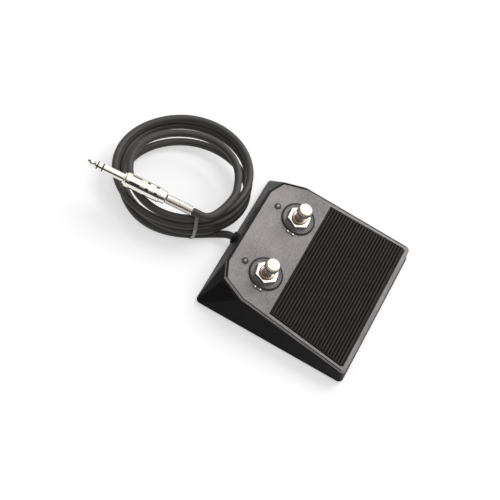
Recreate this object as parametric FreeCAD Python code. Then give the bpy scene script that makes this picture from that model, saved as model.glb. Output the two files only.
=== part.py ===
"""Foot pedal switch: a wedge casing with two latching footswitches and a coiled lead.

All lengths are in millimetres and all angles in degrees. The origin is on the floor,
below the middle of the casing. +X points to the operator's right, +Y to the rear, where
the lead leaves, and +Z up. The top panel has its own frame, PANEL: u runs along X, v runs
up the slope from the front edge, and w stands out of the panel.
"""
import FreeCAD, Part
import math
import os

Vector = FreeCAD.Vector
Placement = FreeCAD.Placement
Rotation = FreeCAD.Rotation

# Casing
CASE_WIDTH = 130.0
CASE_DEPTH = 126.0
BASE_CORNER_RADIUS = 4.0
FRONT_HEIGHT = 16.5
FRONT_RAKE = 3.9
REAR_RAKE = 6.568
SIDE_RAKE_FRONT = 1.0
SIDE_RAKE_REAR = 8.5
PANEL_SLOPE = 7.0
PANEL_FRONT_CORNER = 3.0
CLIP_ALONG_REAR = 20.0
CLIP_ALONG_SIDE = 25.0
CLIP_MIDDLE_IN = 6.3
CLIP_MIDDLE_FORWARD = 5.9
WALL = 2.5
COVER_THICKNESS = 3.0
COVER_EDGE_RADIUS = 1.5

# Base plate, feet and the screws that close the casing
BASE_PLATE_THICKNESS = 1.5
BASE_PLATE_LEDGE = 1.2
BASE_PLATE_GAP = 0.2
FOOT_HEIGHT = 3.0
FOOT_RADIUS = 7.0
FOOT_TAPER = 0.8
FOOT_STEM_RADIUS = 2.5
FOOT_BARB_RADIUS = 3.4
FOOT_BARB_HEIGHT = 2.0
FOOT_FROM_SIDE = 10.0
FOOT_FROM_END = 10.0
BOSS_RADIUS = 4.0
FRONT_BOSS_FROM_EDGES = (29.0, 13.0)
REAR_BOSS_FROM_EDGES = (21.0, 20.0)
CASE_SCREW_RADIUS = 1.5
CASE_SCREW_LENGTH = 9.0
CASE_SCREW_HEAD_RADIUS = 2.8
CASE_SCREW_HEAD_HEIGHT = 1.6
SCREW_HOLE_GAP = 0.15
SCREW_DRIVE_RADIUS = 0.9
SCREW_DRIVE_DEPTH = 0.9

# Tread mat
MAT_START = 2.8
MAT_TO_WASHER = 3.7
MAT_FROM_SIDE_FRONT = 4.02
MAT_FROM_SIDE_REAR = 4.686
MAT_RECESS = 1.0
MAT_GAP = 0.6
MAT_WEB = 0.9
RIB_PITCH = 2.5
RIB_HEIGHT = 0.8
RIB_GAP = 0.7
RIB_DRAFT = 0.3

# Footswitches
SWITCH_SPACING = 57.0
SWITCH_TO_LAMP = 18.6
BUSHING_RADIUS = 6.0
BUSHING_HOLE_GAP = 0.15
BUSHING_ABOVE_NUT = 0.8
BUSHING_CHAMFER = 0.5
SHAFT_RADIUS = 4.0
SHAFT_GAP = 0.06
SHAFT_EXPOSED = 7.8
CAP_RADIUS = 5.9
CAP_HEIGHT = 6.5
CAP_DOME = 2.6
CAP_BORE_DEPTH = 3.6
CAP_CHAMFER = 0.4
WASHER_RADIUS = 13.7
WASHER_THICKNESS = 1.0
WASHER_EDGE = 0.35
WASHER_TAB_REACH = 2.2
WASHER_TAB_WIDTH = 3.2
NUT_ACROSS_FLATS = 16.5
NUT_THICKNESS = 2.8
NUT_CHAMFER = 0.9
NUT_TURN = {"left": 12.0, "right": 4.0}
LOCK_WASHER_RADIUS = 8.6
LOCK_WASHER_THICKNESS = 0.5
LOCK_WASHER_TEETH = 10
LOCK_WASHER_TOOTH = 0.9
HOUSING_SIDE = 18.0
HOUSING_ROOF = 1.5
HOUSING_CAVITY_RADIUS = 6.4
FLANGE_RADIUS = 5.8
FLANGE_THICKNESS = 1.4
FLANGE_STOP_GAP = 0.1
BUTTON_TRAVEL = 2.8
SPRING_ROOM_PRESSED = 5.2
SPRING_WIRE = 0.6
SPRING_RADIUS = 4.6
SPRING_CURLS = 4
SPRING_SEAT_GAP = 0.05
TERMINAL_PLATE_THICKNESS = 1.2
LUG_COUNT = 3
LUG_PITCH = 5.0
LUG_WIDTH = 3.0
LUG_THICKNESS = 0.8
LUG_LENGTH = 3.6

# Indicator lamps and their board
LAMP_TO_REAR_EDGE = 11.9
LAMP_RADIUS = 1.5
LAMP_ABOVE = 1.6
LAMP_BODY_LENGTH = 5.4
LAMP_RIM_RADIUS = 1.9
LAMP_RIM_HEIGHT = 1.0
LAMP_LEG_SIDE = 0.5
LAMP_LEG_PITCH = 1.6
BEZEL_RADIUS = 2.7
BEZEL_SLEEVE_RADIUS = 2.2
BEZEL_HEIGHT = 0.7
BEZEL_EDGE = 0.25
BOARD_TO_BOSS = 3.0
BOARD_LENGTH = 14.0
BOARD_THICKNESS = 1.6
BOARD_DEPTH = 9.0
BOARD_POST_RADIUS = 2.6
BOARD_POST_SPACING = 36.0
BOARD_SCREW_RADIUS = 1.1
BOARD_SCREW_LENGTH = 5.0
BOARD_SCREW_HEAD_RADIUS = 2.2
BOARD_SCREW_HEAD_HEIGHT = 1.3

# Cord, with the grommet and clamp that hold it
CORD_DIAMETER = 6.0
CORD_EXIT_X = -2.5
CORD_EXIT_HEIGHT = 8.0
GROMMET_HOLE_RADIUS = 4.0
GROMMET_FLANGE_RADIUS = 5.0
GROMMET_FLANGE_THICKNESS = 1.5
GROMMET_PLATE_GAP = 0.3
CLAMP_WIDTH = 26.0
CLAMP_LENGTH = 8.0
CLAMP_ROOF = 2.0
CLAMP_EAR_HEIGHT = 4.0
CLAMP_SADDLE_WIDTH = 11.0
CLAMP_FROM_GROMMET = 4.0
CLAMP_SCREW_SPACING = 18.5
CLAMP_SCREW_RADIUS = 1.5
CLAMP_SCREW_HEAD_RADIUS = 2.6
CLAMP_SCREW_HEAD_HEIGHT = 1.6
CORD_TAIL_INSIDE = 2.0
WIRE_RADIUS = 0.7
WIRE_COUNT = 3
WIRE_PITCH = 1.8
WIRE_BEND = 1.6

# Lead from the casing to the coil: points chosen by hand, between its straight ends. The
# lead, the coil and the plug are placed from the foot of the rear wall.
LEAD_BEND_SHARE = 0.45
LEAD_POINTS = (
    (-2.5, 4.2, 8.0),
    (-4.4, 10.6, 5.0),
)
LEAD_STRAIGHT_END = 6.0

# Coil: an oval loop whose centre, size and height change smoothly with each turn
COIL_START = 0.0
COIL_END = 3.8
COIL_STEPS = 16
COIL_CENTRE = (9.65, 49.81)
COIL_DRIFT = (12.74, 7.65)
COIL_DRIFT_CHANGE = (-3.12, -1.70)
COIL_RADII = (44.62, 33.26)
COIL_GROWTH = (10.03, 17.57)
COIL_GROWTH_CHANGE = (-2.93, -4.69)
COIL_TWIST = 115.7
COIL_PHASE = 76.2
COIL_FIRST_HEIGHT = 4.0
COIL_CLIMB = 7.0
COIL_CLIMB_PHASE = 0.6

# Cable tie
TIE_THICKNESS = 0.7
TIE_WIDTH = 2.6
TIE_GAP = 0.3
TIE_STRANDS = 4
TIE_HEAD = (3.0, 5.0, 4.2)
TIE_HEAD_HEIGHT = 13.0

# Plug: its axis runs from the rear of the strain relief spring towards the tip
PLUG_REAR = (-15.5, 34.1, 32.8)
PLUG_TOWARDS = (-24.4, 119.5, 37.2)
PLUG_SPRING_LENGTH = 23.0
PLUG_SPRING_WIRE = 0.8
PLUG_SPRING_PITCH = 1.25
PLUG_SPRING_CORD_GAP = 0.1
PLUG_SPRING_SEAT_GAP = 0.1
COLLAR_LENGTH = 4.5
COLLAR_RADIUS = 5.2
COLLAR_EDGE = 0.8
BARREL_LENGTH = 29.0
BARREL_RADIUS = 5.8
BARREL_EDGE = 0.7
BARREL_SLOT_START = 5.0
BARREL_SLOT_LENGTH = 8.0
BARREL_SLOT_WIDTH = 1.6
BARREL_SLOT_COUNT = 4
BARREL_MARK_BANDS = (16.5, 24.0)
BARREL_MARK_LENGTH = 2.6
BARREL_MARK_WIDTH = 2.0
BARREL_MARK_COUNT = 8
BARREL_MARK_DEPTH = 0.5
PIN_RADIUS = 3.175
PIN_LENGTH = 30.5
PIN_FLANGE_RADIUS = 4.6
PIN_FLANGE_THICKNESS = 1.4
PIN_TIP_LENGTH = 8.2
PIN_TIP_LAND = 1.0
PIN_TIP_NECK_RADIUS = 2.1
PIN_TIP_NECK_AT = 3.0
PIN_TIP_BALL_RADIUS = 3.0
PIN_TIP_BALL_AT = 4.8
PIN_TIP_NOSE_RADIUS = 1.1
PIN_RING_LENGTH = 3.4
PIN_INSULATOR_LENGTH = 1.0

# Lengths past the casing, past one wall, and for comparing places
FAR = 400.0
THROUGH = 50.0
TOLERANCE = 0.01
TURN_STEP = 0.0005

SIDES = {"left": -1.0, "right": 1.0}
UP = Vector(0, 0, 1)

# Values worked out from the sizes above
PANEL = Placement(Vector(0, FRONT_RAKE - CASE_DEPTH / 2, FRONT_HEIGHT),
                  Rotation(Vector(1, 0, 0), PANEL_SLOPE))
PANEL_LENGTH = (CASE_DEPTH - FRONT_RAKE - REAR_RAKE) / math.cos(math.radians(PANEL_SLOPE))
PANEL_FRONT_WIDTH = CASE_WIDTH - 2 * SIDE_RAKE_FRONT
PANEL_REAR_WIDTH = CASE_WIDTH - 2 * SIDE_RAKE_REAR
LAMP_V = PANEL_LENGTH - LAMP_TO_REAR_EDGE
SWITCH_V = LAMP_V - SWITCH_TO_LAMP
MAT_END = SWITCH_V - WASHER_RADIUS - MAT_TO_WASHER
REAR_FOOT = Vector(0, CASE_DEPTH / 2, 0)
BASE_TOP = FOOT_HEIGHT + BASE_PLATE_THICKNESS
CORD_RADIUS = CORD_DIAMETER / 2
NUT_TOP = WASHER_THICKNESS + NUT_THICKNESS
BUSHING_TOP = NUT_TOP + BUSHING_ABOVE_NUT
CAP_BOTTOM = BUSHING_TOP + SHAFT_EXPOSED
HOUSING_TOP = -COVER_THICKNESS - LOCK_WASHER_THICKNESS
CAVITY_TOP = HOUSING_TOP - HOUSING_ROOF
FLANGE_TOP = CAVITY_TOP - FLANGE_STOP_GAP
FLANGE_BOTTOM = FLANGE_TOP - FLANGE_THICKNESS
HOUSING_BOTTOM = FLANGE_BOTTOM - BUTTON_TRAVEL - SPRING_ROOM_PRESSED
BOARD_TOP = -BOARD_DEPTH
BOARD_WIDTH = CASE_WIDTH - 2 * (REAR_BOSS_FROM_EDGES[0] + BOSS_RADIUS + BOARD_TO_BOSS)
BOARD_BOTTOM = BOARD_TOP - BOARD_THICKNESS

parts = {}


def add(name, shape):
    """Keep one finished piece under its name."""
    parts[name] = shape


def tube(outer, inner, low, high):
    """A ring about Z from one height to another."""
    body = Part.makeCylinder(outer, high - low, Vector(0, 0, low))
    return body.cut(Part.makeCylinder(inner, high - low + 2, Vector(0, 0, low - 1)))


def rod(radius, low, high, x=0.0, y=0.0):
    """A round bar along Z."""
    return Part.makeCylinder(radius, high - low, Vector(x, y, low))


def block(size, centre, low):
    """A box that stands on a height, centred on a point."""
    width, depth, height = size
    return Part.makeBox(width, depth, height, Vector(centre[0] - width / 2, centre[1] - depth / 2, low))


def turned(profile):
    """A solid of revolution about Z from (radius, height) points and arcs."""
    edges = []
    here = profile[0]
    for step in profile[1:]:
        if len(step) == 2:
            edges.append(Part.makeLine(Vector(here[0], 0, here[1]), Vector(step[0], 0, step[1])))
            here = step
        else:
            middle = Vector(step[0], 0, step[1])
            end = Vector(step[2], 0, step[3])
            edges.append(Part.Arc(Vector(here[0], 0, here[1]), middle, end).toShape())
            here = step[2:]
    face = Part.Face(Part.Wire(edges))
    return face.revolve(Vector(0, 0, 0), UP, 360)


def moved(shape, placement):
    """A copy of a shape built at the origin, set in its place."""
    copy = shape.copy()
    copy.Placement = placement.multiply(shape.Placement)
    return copy


def on_panel(shape, u=0.0, v=0.0):
    """Set a shape that was built about w on the top panel."""
    return moved(shape, PANEL.multiply(Placement(Vector(u, v, 0), Rotation())))


def panel_prism(points, low, high):
    """A straight prism on the panel, between two distances from its face."""
    corners = [Vector(u, v, low) for u, v in points]
    face = Part.Face(Part.makePolygon(corners + corners[:1]))
    return moved(face.extrude(Vector(0, 0, high - low)), PANEL)


def above_panel(w):
    """Everything over a plane parallel to the panel."""
    return panel_prism([(-FAR, -FAR), (FAR, -FAR), (FAR, FAR), (-FAR, FAR)], w, FAR)


def below_cover(x, y, radius, bottom):
    """An upright column from a height to the underside of the top cover."""
    return rod(radius, bottom, THROUGH, x, y).cut(above_panel(-COVER_THICKNESS))


def arc_between(start, corner, end):
    """The arc that leaves start towards corner and arrives at end from it, as an edge."""
    middle = (start + end) * 0.5
    lean = (corner - start).getAngle(end - start)
    share = math.cos(lean) / (1 + math.cos(lean))
    return Part.Arc(start, middle + (corner - middle) * share, end).toShape()


# Outline of the casing

def base_wire(z, inset):
    """The casing's outline at its foot, with each rear corner in two arcs."""
    radius = BASE_CORNER_RADIUS - inset
    x = CASE_WIDTH / 2 - inset - radius
    y = CASE_DEPTH / 2 - inset - radius

    def point(cx, cy, angle):
        turn = math.radians(angle)
        return Vector(cx + radius * math.cos(turn), cy + radius * math.sin(turn), z)

    def arc(cx, cy, first, last):
        middle = (first + last) / 2
        return Part.Arc(point(cx, cy, first), point(cx, cy, middle), point(cx, cy, last)).toShape()

    return Part.Wire([
        Part.makeLine(point(-x, -y, 270), point(x, -y, 270)),
        arc(x, -y, 270, 360),
        Part.makeLine(point(x, -y, 0), point(x, y, 0)),
        arc(x, y, 0, 45),
        arc(x, y, 45, 90),
        Part.makeLine(point(x, y, 90), point(-x, y, 90)),
        arc(-x, y, 90, 135),
        arc(-x, y, 135, 180),
        Part.makeLine(point(-x, y, 180), point(-x, -y, 180)),
        arc(-x, -y, 180, 270),
    ])


def inset_outline(points, inset):
    """Move every side of an anticlockwise outline inwards by the same distance."""
    result = []
    count = len(points)
    for i in range(count):
        before, here, after = points[i - 1], points[i], points[(i + 1) % count]
        one = Vector(here[0] - before[0], here[1] - before[1], 0).normalize()
        two = Vector(after[0] - here[0], after[1] - here[1], 0).normalize()
        inward = Vector(-one.y - two.y, one.x + two.x, 0)
        reach = 2 * inset / inward.dot(inward)
        result.append((here[0] + inward.x * reach, here[1] + inward.y * reach))
    return result


def panel_outline(inset):
    """The top panel's corners, with the two rear ones clipped in two facets each."""
    front = Vector(PANEL_FRONT_WIDTH / 2, 0, 0)
    rear = Vector(PANEL_REAR_WIDTH / 2, PANEL_LENGTH, 0)
    side = rear + (front - rear).normalize() * CLIP_ALONG_SIDE
    right = [
        (front.x, front.y),
        (side.x, side.y),
        (rear.x - CLIP_MIDDLE_IN, rear.y - CLIP_MIDDLE_FORWARD),
        (rear.x - CLIP_ALONG_REAR, rear.y),
    ]
    left = [(-u, v) for u, v in reversed(right)]
    return inset_outline(right + left, inset)


def panel_wire(inset):
    """The casing's outline at the top panel, side for side with base_wire."""
    corners = [Vector(u, v, 0) for u, v in panel_outline(inset)]
    right, left = corners[0], corners[-1]
    cut = PANEL_FRONT_CORNER
    right_front = right + (left - right).normalize() * cut
    right_side = right + (corners[1] - right).normalize() * cut
    left_front = left + (right - left).normalize() * cut
    left_side = left + (corners[-2] - left).normalize() * cut
    edges = [Part.makeLine(left_front, right_front), arc_between(right_front, right, right_side)]
    path = [right_side] + corners[1:-1] + [left_side]
    for start, end in zip(path, path[1:]):
        edges.append(Part.makeLine(start, end))
    edges.append(arc_between(left_side, left, left_front))
    return moved(Part.Wire(edges), PANEL)


def casing_solid(inset):
    """The casing's whole form, drawn in by the inset, up to the panel's face."""
    return Part.makeLoft([base_wire(FOOT_HEIGHT, inset), panel_wire(inset)], True, True)


# Casing pieces

def half_panel(v):
    """Half the panel's width at a distance up the slope."""
    return (PANEL_FRONT_WIDTH + (PANEL_REAR_WIDTH - PANEL_FRONT_WIDTH) * v / PANEL_LENGTH) / 2


def mat_outline(gap):
    """The tread mat's corners on the panel, grown by a gap."""
    front = half_panel(MAT_START) - MAT_FROM_SIDE_FRONT + gap
    rear = half_panel(MAT_END) - MAT_FROM_SIDE_REAR + gap
    return [(-front, MAT_START - gap), (front, MAT_START - gap),
            (rear, MAT_END + gap), (-rear, MAT_END + gap)]


def boss_places():
    """Where the four closing screws go."""
    places = {}
    for side, sign in SIDES.items():
        for end, (in_x, in_y), way in (("front_", FRONT_BOSS_FROM_EDGES, -1),
                                       ("rear_", REAR_BOSS_FROM_EDGES, 1)):
            places[end + side] = (sign * (CASE_WIDTH / 2 - in_x), way * (CASE_DEPTH / 2 - in_y))
    return places


def foot_places():
    """Where the four feet stand."""
    places = {}
    for side, sign in SIDES.items():
        x = sign * (CASE_WIDTH / 2 - FOOT_FROM_SIDE)
        y = CASE_DEPTH / 2 - FOOT_FROM_END
        places["front_" + side] = (x, -y)
        places["rear_" + side] = (x, y)
    return places


def make_body_shell():
    """The black walls, open above and below, with a step for the base plate."""
    shell = casing_solid(0).cut(casing_solid(WALL))
    step = base_wire(FOOT_HEIGHT, WALL - BASE_PLATE_LEDGE)
    shell = shell.cut(Part.Face(step).extrude(Vector(0, 0, BASE_PLATE_THICKNESS)))
    shell = shell.cut(above_panel(-COVER_THICKNESS))
    hole = moved(rod(GROMMET_HOLE_RADIUS, 0, CASE_DEPTH), cord_frame())
    return shell.cut(hole)


def make_top_cover():
    """The grey cover: edge radius, mat recess, holes, closing bosses and board posts."""
    cover = casing_solid(0).common(above_panel(-COVER_THICKNESS))
    face_edges = []
    for edge in cover.Edges:
        heights = [PANEL.inverse().multVec(vertex.Point).z for vertex in edge.Vertexes]
        if max(abs(height) for height in heights) < TOLERANCE:
            face_edges.append(edge)
    cover = cover.makeFillet(COVER_EDGE_RADIUS, face_edges)
    cover = cover.cut(panel_prism(mat_outline(MAT_GAP), -MAT_RECESS, FAR))
    for x, y in boss_places().values():
        boss = below_cover(x, y, BOSS_RADIUS, BASE_TOP)
        cover = cover.fuse(boss)
        cover = cover.cut(rod(CASE_SCREW_RADIUS, 0, BASE_TOP + CASE_SCREW_LENGTH, x, y))
    for sign in SIDES.values():
        u = sign * SWITCH_SPACING / 2
        hole = rod(BUSHING_RADIUS + BUSHING_HOLE_GAP, -THROUGH, THROUGH)
        cover = cover.cut(on_panel(hole, u, SWITCH_V))
        lamp_hole = rod(BEZEL_SLEEVE_RADIUS, -THROUGH, THROUGH)
        cover = cover.cut(on_panel(lamp_hole, u, LAMP_V))
        post = rod(BOARD_POST_RADIUS, BOARD_TOP, -COVER_THICKNESS)
        cover = cover.fuse(on_panel(post, sign * BOARD_POST_SPACING / 2, LAMP_V))
        thread = rod(BOARD_SCREW_RADIUS, BOARD_BOTTOM, BOARD_BOTTOM + BOARD_SCREW_LENGTH)
        cover = cover.cut(on_panel(thread, sign * BOARD_POST_SPACING / 2, LAMP_V))
    return cover.removeSplitter()


def make_base_plate():
    """The flat plate that closes the casing from below."""
    outline = base_wire(FOOT_HEIGHT, WALL - BASE_PLATE_LEDGE + BASE_PLATE_GAP)
    plate = Part.Face(outline).extrude(Vector(0, 0, BASE_PLATE_THICKNESS))
    holes = [(place, CASE_SCREW_RADIUS + SCREW_HOLE_GAP) for place in boss_places().values()]
    holes += [(place, FOOT_STEM_RADIUS) for place in foot_places().values()]
    holes += [(place, CLAMP_SCREW_RADIUS) for place in clamp_screw_places().values()]
    for (x, y), radius in holes:
        plate = plate.cut(rod(radius, 0, BASE_TOP + 1, x, y))
    notch = moved(rod(GROMMET_FLANGE_RADIUS + GROMMET_PLATE_GAP, 0, CASE_DEPTH), cord_frame())
    slab = rear_wall_slab(WALL + GROMMET_FLANGE_THICKNESS + GROMMET_PLATE_GAP, -WALL)
    return plate.cut(notch.common(slab))


def make_foot():
    """A rubber foot with a stem and barb that snap through the base plate."""
    return turned([
        (0, 0),
        (FOOT_RADIUS - FOOT_TAPER, 0),
        (FOOT_RADIUS, FOOT_HEIGHT),
        (FOOT_STEM_RADIUS, FOOT_HEIGHT),
        (FOOT_STEM_RADIUS, BASE_TOP),
        (FOOT_BARB_RADIUS, BASE_TOP),
        (FOOT_STEM_RADIUS, BASE_TOP + FOOT_BARB_HEIGHT),
        (0, BASE_TOP + FOOT_BARB_HEIGHT),
        (0, 0),
    ])


def make_screw(radius, length, head_radius, head_height):
    """A pan head screw with its head's seat at the origin and its shank along +Z."""
    edge = head_height / 2
    middle = edge * math.sqrt(0.5)
    screw = turned([
        (0, -head_height),
        (head_radius - edge, -head_height),
        (head_radius - edge + middle, -edge - middle, head_radius, -edge),
        (head_radius, 0),
        (radius, 0),
        (radius, length),
        (0, length),
        (0, -head_height),
    ])
    return screw.cut(rod(SCREW_DRIVE_RADIUS, -head_height, SCREW_DRIVE_DEPTH - head_height))


def make_tread_mat():
    """The rubber mat: a web with ribs across it."""
    low = -MAT_RECESS
    top = low + MAT_WEB
    profile = [(MAT_START, low), (MAT_START, top)]
    for i in range(int((MAT_END - MAT_START + RIB_GAP) / RIB_PITCH)):
        v = MAT_START + i * RIB_PITCH
        end = v + RIB_PITCH - RIB_GAP
        if i > 0:
            profile.append((v, top))
        profile += [(v + RIB_DRAFT, top + RIB_HEIGHT), (end - RIB_DRAFT, top + RIB_HEIGHT), (end, top)]
    profile += [(MAT_END, top), (MAT_END, low)]
    points = [Vector(-FAR / 2, v, w) for v, w in profile]
    strip = Part.Face(Part.makePolygon(points + points[:1])).extrude(Vector(FAR, 0, 0))
    return moved(strip, PANEL).common(panel_prism(mat_outline(0), low, THROUGH))


# Footswitch pieces, each about w with the panel's face at zero

def make_dress_washer():
    """The dark round washer on the panel, with a locating tab towards -X."""
    ring = tube(WASHER_RADIUS, BUSHING_RADIUS + BUSHING_HOLE_GAP, 0, WASHER_THICKNESS)
    rim = [edge for edge in ring.Edges if abs(edge.BoundBox.ZMin - WASHER_THICKNESS) < TOLERANCE
           and edge.BoundBox.XMax > WASHER_RADIUS - TOLERANCE]
    ring = ring.makeFillet(WASHER_EDGE, rim)
    reach = WASHER_RADIUS + WASHER_TAB_REACH
    size = (reach - WASHER_RADIUS / 2, WASHER_TAB_WIDTH, WASHER_THICKNESS - WASHER_EDGE)
    tab = block(size, (size[0] / 2 - reach, 0), 0)
    return ring.fuse(tab).removeSplitter()


def make_panel_nut(turn):
    """The thin hexagon nut, its top corners turned down."""
    corner = NUT_ACROSS_FLATS / 2 / math.cos(math.radians(30))
    points = []
    for i in range(7):
        angle = math.radians(60 * i + turn)
        points.append(Vector(corner * math.cos(angle), corner * math.sin(angle), WASHER_THICKNESS))
    nut = Part.Face(Part.makePolygon(points)).extrude(Vector(0, 0, NUT_THICKNESS))
    drop = (corner - NUT_ACROSS_FLATS / 2 + NUT_CHAMFER / 2) * math.tan(math.radians(30))
    form = turned([
        (0, WASHER_THICKNESS),
        (corner, WASHER_THICKNESS),
        (corner, NUT_TOP - drop),
        (NUT_ACROSS_FLATS / 2 - NUT_CHAMFER / 2, NUT_TOP),
        (0, NUT_TOP),
        (0, WASHER_THICKNESS),
    ])
    return nut.common(form).cut(rod(BUSHING_RADIUS, 0, NUT_TOP + 1))


def make_lock_washer():
    """The toothed washer between the housing and the cover."""
    low = -COVER_THICKNESS - LOCK_WASHER_THICKNESS
    ring = tube(LOCK_WASHER_RADIUS, BUSHING_RADIUS, low, -COVER_THICKNESS)
    for i in range(LOCK_WASHER_TEETH):
        notch = block((LOCK_WASHER_TOOTH * 2, LOCK_WASHER_TOOTH, 2 * LOCK_WASHER_THICKNESS),
                      (LOCK_WASHER_RADIUS, 0), low - LOCK_WASHER_THICKNESS / 2)
        notch.rotate(Vector(0, 0, 0), UP, 360.0 * i / LOCK_WASHER_TEETH)
        ring = ring.cut(notch)
    return ring


def make_switch_body():
    """The housing and its threaded bushing, bored for the plunger."""
    size = (HOUSING_SIDE, HOUSING_SIDE, HOUSING_TOP - HOUSING_BOTTOM)
    housing = block(size, (0, 0), HOUSING_BOTTOM)
    bushing = rod(BUSHING_RADIUS, HOUSING_TOP, BUSHING_TOP)
    rim = [edge for edge in bushing.Edges if abs(edge.BoundBox.ZMin - BUSHING_TOP) < TOLERANCE]
    bushing = bushing.makeChamfer(BUSHING_CHAMFER, rim)
    body = housing.fuse(bushing)
    body = body.cut(rod(SHAFT_RADIUS + SHAFT_GAP, CAVITY_TOP - 1, BUSHING_TOP + 1))
    return body.cut(rod(HOUSING_CAVITY_RADIUS, HOUSING_BOTTOM, CAVITY_TOP))


def make_terminals():
    """The plate that closes the housing, with its row of solder lugs."""
    high = HOUSING_BOTTOM
    low = high - TERMINAL_PLATE_THICKNESS
    plate = block((HOUSING_SIDE, HOUSING_SIDE, TERMINAL_PLATE_THICKNESS), (0, 0), low)
    for i in range(LUG_COUNT):
        x = (i - (LUG_COUNT - 1) / 2) * LUG_PITCH
        lug = block((LUG_THICKNESS, LUG_WIDTH, LUG_LENGTH), (x, 0), low - LUG_LENGTH)
        plate = plate.fuse(lug)
    return plate.removeSplitter()


def make_plunger():
    """The shaft, held in the housing by its flange."""
    return turned([
        (0, FLANGE_BOTTOM),
        (FLANGE_RADIUS, FLANGE_BOTTOM),
        (FLANGE_RADIUS, FLANGE_TOP),
        (SHAFT_RADIUS, FLANGE_TOP),
        (SHAFT_RADIUS, CAP_BOTTOM + CAP_BORE_DEPTH),
        (0, CAP_BOTTOM + CAP_BORE_DEPTH),
        (0, FLANGE_BOTTOM),
    ])


def make_button_cap():
    """The domed cap that the foot presses, on the end of the shaft."""
    top = CAP_BOTTOM + CAP_HEIGHT
    shoulder = top - CAP_DOME
    radius = (CAP_RADIUS ** 2 + CAP_DOME ** 2) / (2 * CAP_DOME)
    half = math.asin(CAP_RADIUS / radius) / 2
    return turned([
        (0, CAP_BOTTOM + CAP_BORE_DEPTH),
        (SHAFT_RADIUS, CAP_BOTTOM + CAP_BORE_DEPTH),
        (SHAFT_RADIUS, CAP_BOTTOM),
        (CAP_RADIUS - CAP_CHAMFER, CAP_BOTTOM),
        (CAP_RADIUS, CAP_BOTTOM + CAP_CHAMFER),
        (CAP_RADIUS, shoulder),
        (radius * math.sin(half), top - radius * (1 - math.cos(half)), 0, top),
        (0, CAP_BOTTOM + CAP_BORE_DEPTH),
    ])


# Curved paths

def biarc(start, start_way, end, end_way):
    """Two arcs that join two points and run with the given directions there."""
    span = end - start
    ways = start_way + end_way
    k = 2 * (1 - start_way.dot(end_way))
    reach = (-span.dot(ways) + math.sqrt(span.dot(ways) ** 2 + k * span.dot(span))) / k
    first = start + start_way * reach
    second = end - end_way * reach
    joint = (first + second) * 0.5
    return [arc_between(start, first, joint), arc_between(joint, second, end)]


def curve_edges(point, way, start, end, steps):
    """Biarcs along a curve given by a function, between two values of its turn."""
    edges = []
    for i in range(steps):
        a = start + (end - start) * i / steps
        b = start + (end - start) * (i + 1) / steps
        edges += biarc(point(a), way(a), point(b), way(b))
    return edges


def sweep_round(edges, radius):
    """One unbroken round tube along joined lines and arcs."""
    path = Part.Wire(edges)
    start = edges[0].valueAt(edges[0].FirstParameter)
    way = edges[0].tangentAt(edges[0].FirstParameter)
    ring = Part.Wire(Part.Circle(start, way, radius).toShape())
    shell = Part.BRepOffsetAPI.MakePipeShell(path)
    shell.add(ring)
    shell.build()
    shell.makeSolid()
    return shell.shape()


def least_gap(edges, diameter, spacing, apart):
    """The least gap of a tube to itself, measured between points on its centre line."""
    points = Part.Wire(edges).discretize(Distance=spacing)
    skip = int(apart / spacing)
    least = min((points[i] - points[j]).Length
                for i in range(len(points)) for j in range(i + skip, len(points)))
    return least - diameter


def helix(radius, pitch, low):
    """Point and direction of a helix about Z, by its turn."""

    def point(turn):
        angle = 2 * math.pi * turn
        return Vector(radius * math.cos(angle), radius * math.sin(angle), low + pitch * turn)

    def way(turn):
        angle = 2 * math.pi * turn
        rise = pitch / (2 * math.pi)
        return Vector(-radius * math.sin(angle), radius * math.cos(angle), rise).normalize()

    return point, way


def make_spring(name, radius, wire, pitch, curls, low):
    """A helical spring about Z whose wire runs straight at both ends."""
    point, way = helix(radius, pitch, low)
    edges = [Part.makeLine(point(0) - way(0) * wire, point(0))]
    edges += curve_edges(point, way, 0, curls, 2 * curls)
    edges.append(Part.makeLine(point(curls), point(curls) + way(curls) * wire))
    gap = least_gap(edges, wire, wire / 2, math.pi * radius)
    print("%s: %d curls, least gap to itself %.2f mm" % (name, curls, gap))
    return sweep_round(edges, wire / 2)


# Indicator pieces, each about w with the panel's face at zero

def make_lamp():
    """A round lamp with its rim and two legs that reach through the board."""
    shoulder = LAMP_ABOVE - LAMP_RADIUS
    low = LAMP_ABOVE - LAMP_BODY_LENGTH
    half = math.sqrt(0.5) * LAMP_RADIUS
    lamp = turned([
        (0, low),
        (LAMP_RIM_RADIUS, low),
        (LAMP_RIM_RADIUS, low + LAMP_RIM_HEIGHT),
        (LAMP_RADIUS, low + LAMP_RIM_HEIGHT),
        (LAMP_RADIUS, shoulder),
        (half, shoulder + half, 0, LAMP_ABOVE),
        (0, low),
    ])
    for side in SIDES.values():
        leg_low = BOARD_BOTTOM - LAMP_LEG_SIDE
        size = (LAMP_LEG_SIDE, LAMP_LEG_SIDE, low - leg_low)
        lamp = lamp.fuse(block(size, (side * LAMP_LEG_PITCH / 2, 0), leg_low))
    return lamp.removeSplitter()


def make_lamp_bezel():
    """The pale ring round a lamp, pressed into the cover."""
    low = LAMP_ABOVE - LAMP_BODY_LENGTH + LAMP_RIM_HEIGHT
    return turned([
        (LAMP_RADIUS, low),
        (BEZEL_SLEEVE_RADIUS, low),
        (BEZEL_SLEEVE_RADIUS, 0),
        (BEZEL_RADIUS, 0),
        (BEZEL_RADIUS, BEZEL_HEIGHT - BEZEL_EDGE),
        (BEZEL_RADIUS - BEZEL_EDGE, BEZEL_HEIGHT),
        (LAMP_RADIUS, BEZEL_HEIGHT),
        (LAMP_RADIUS, low),
    ])


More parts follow.
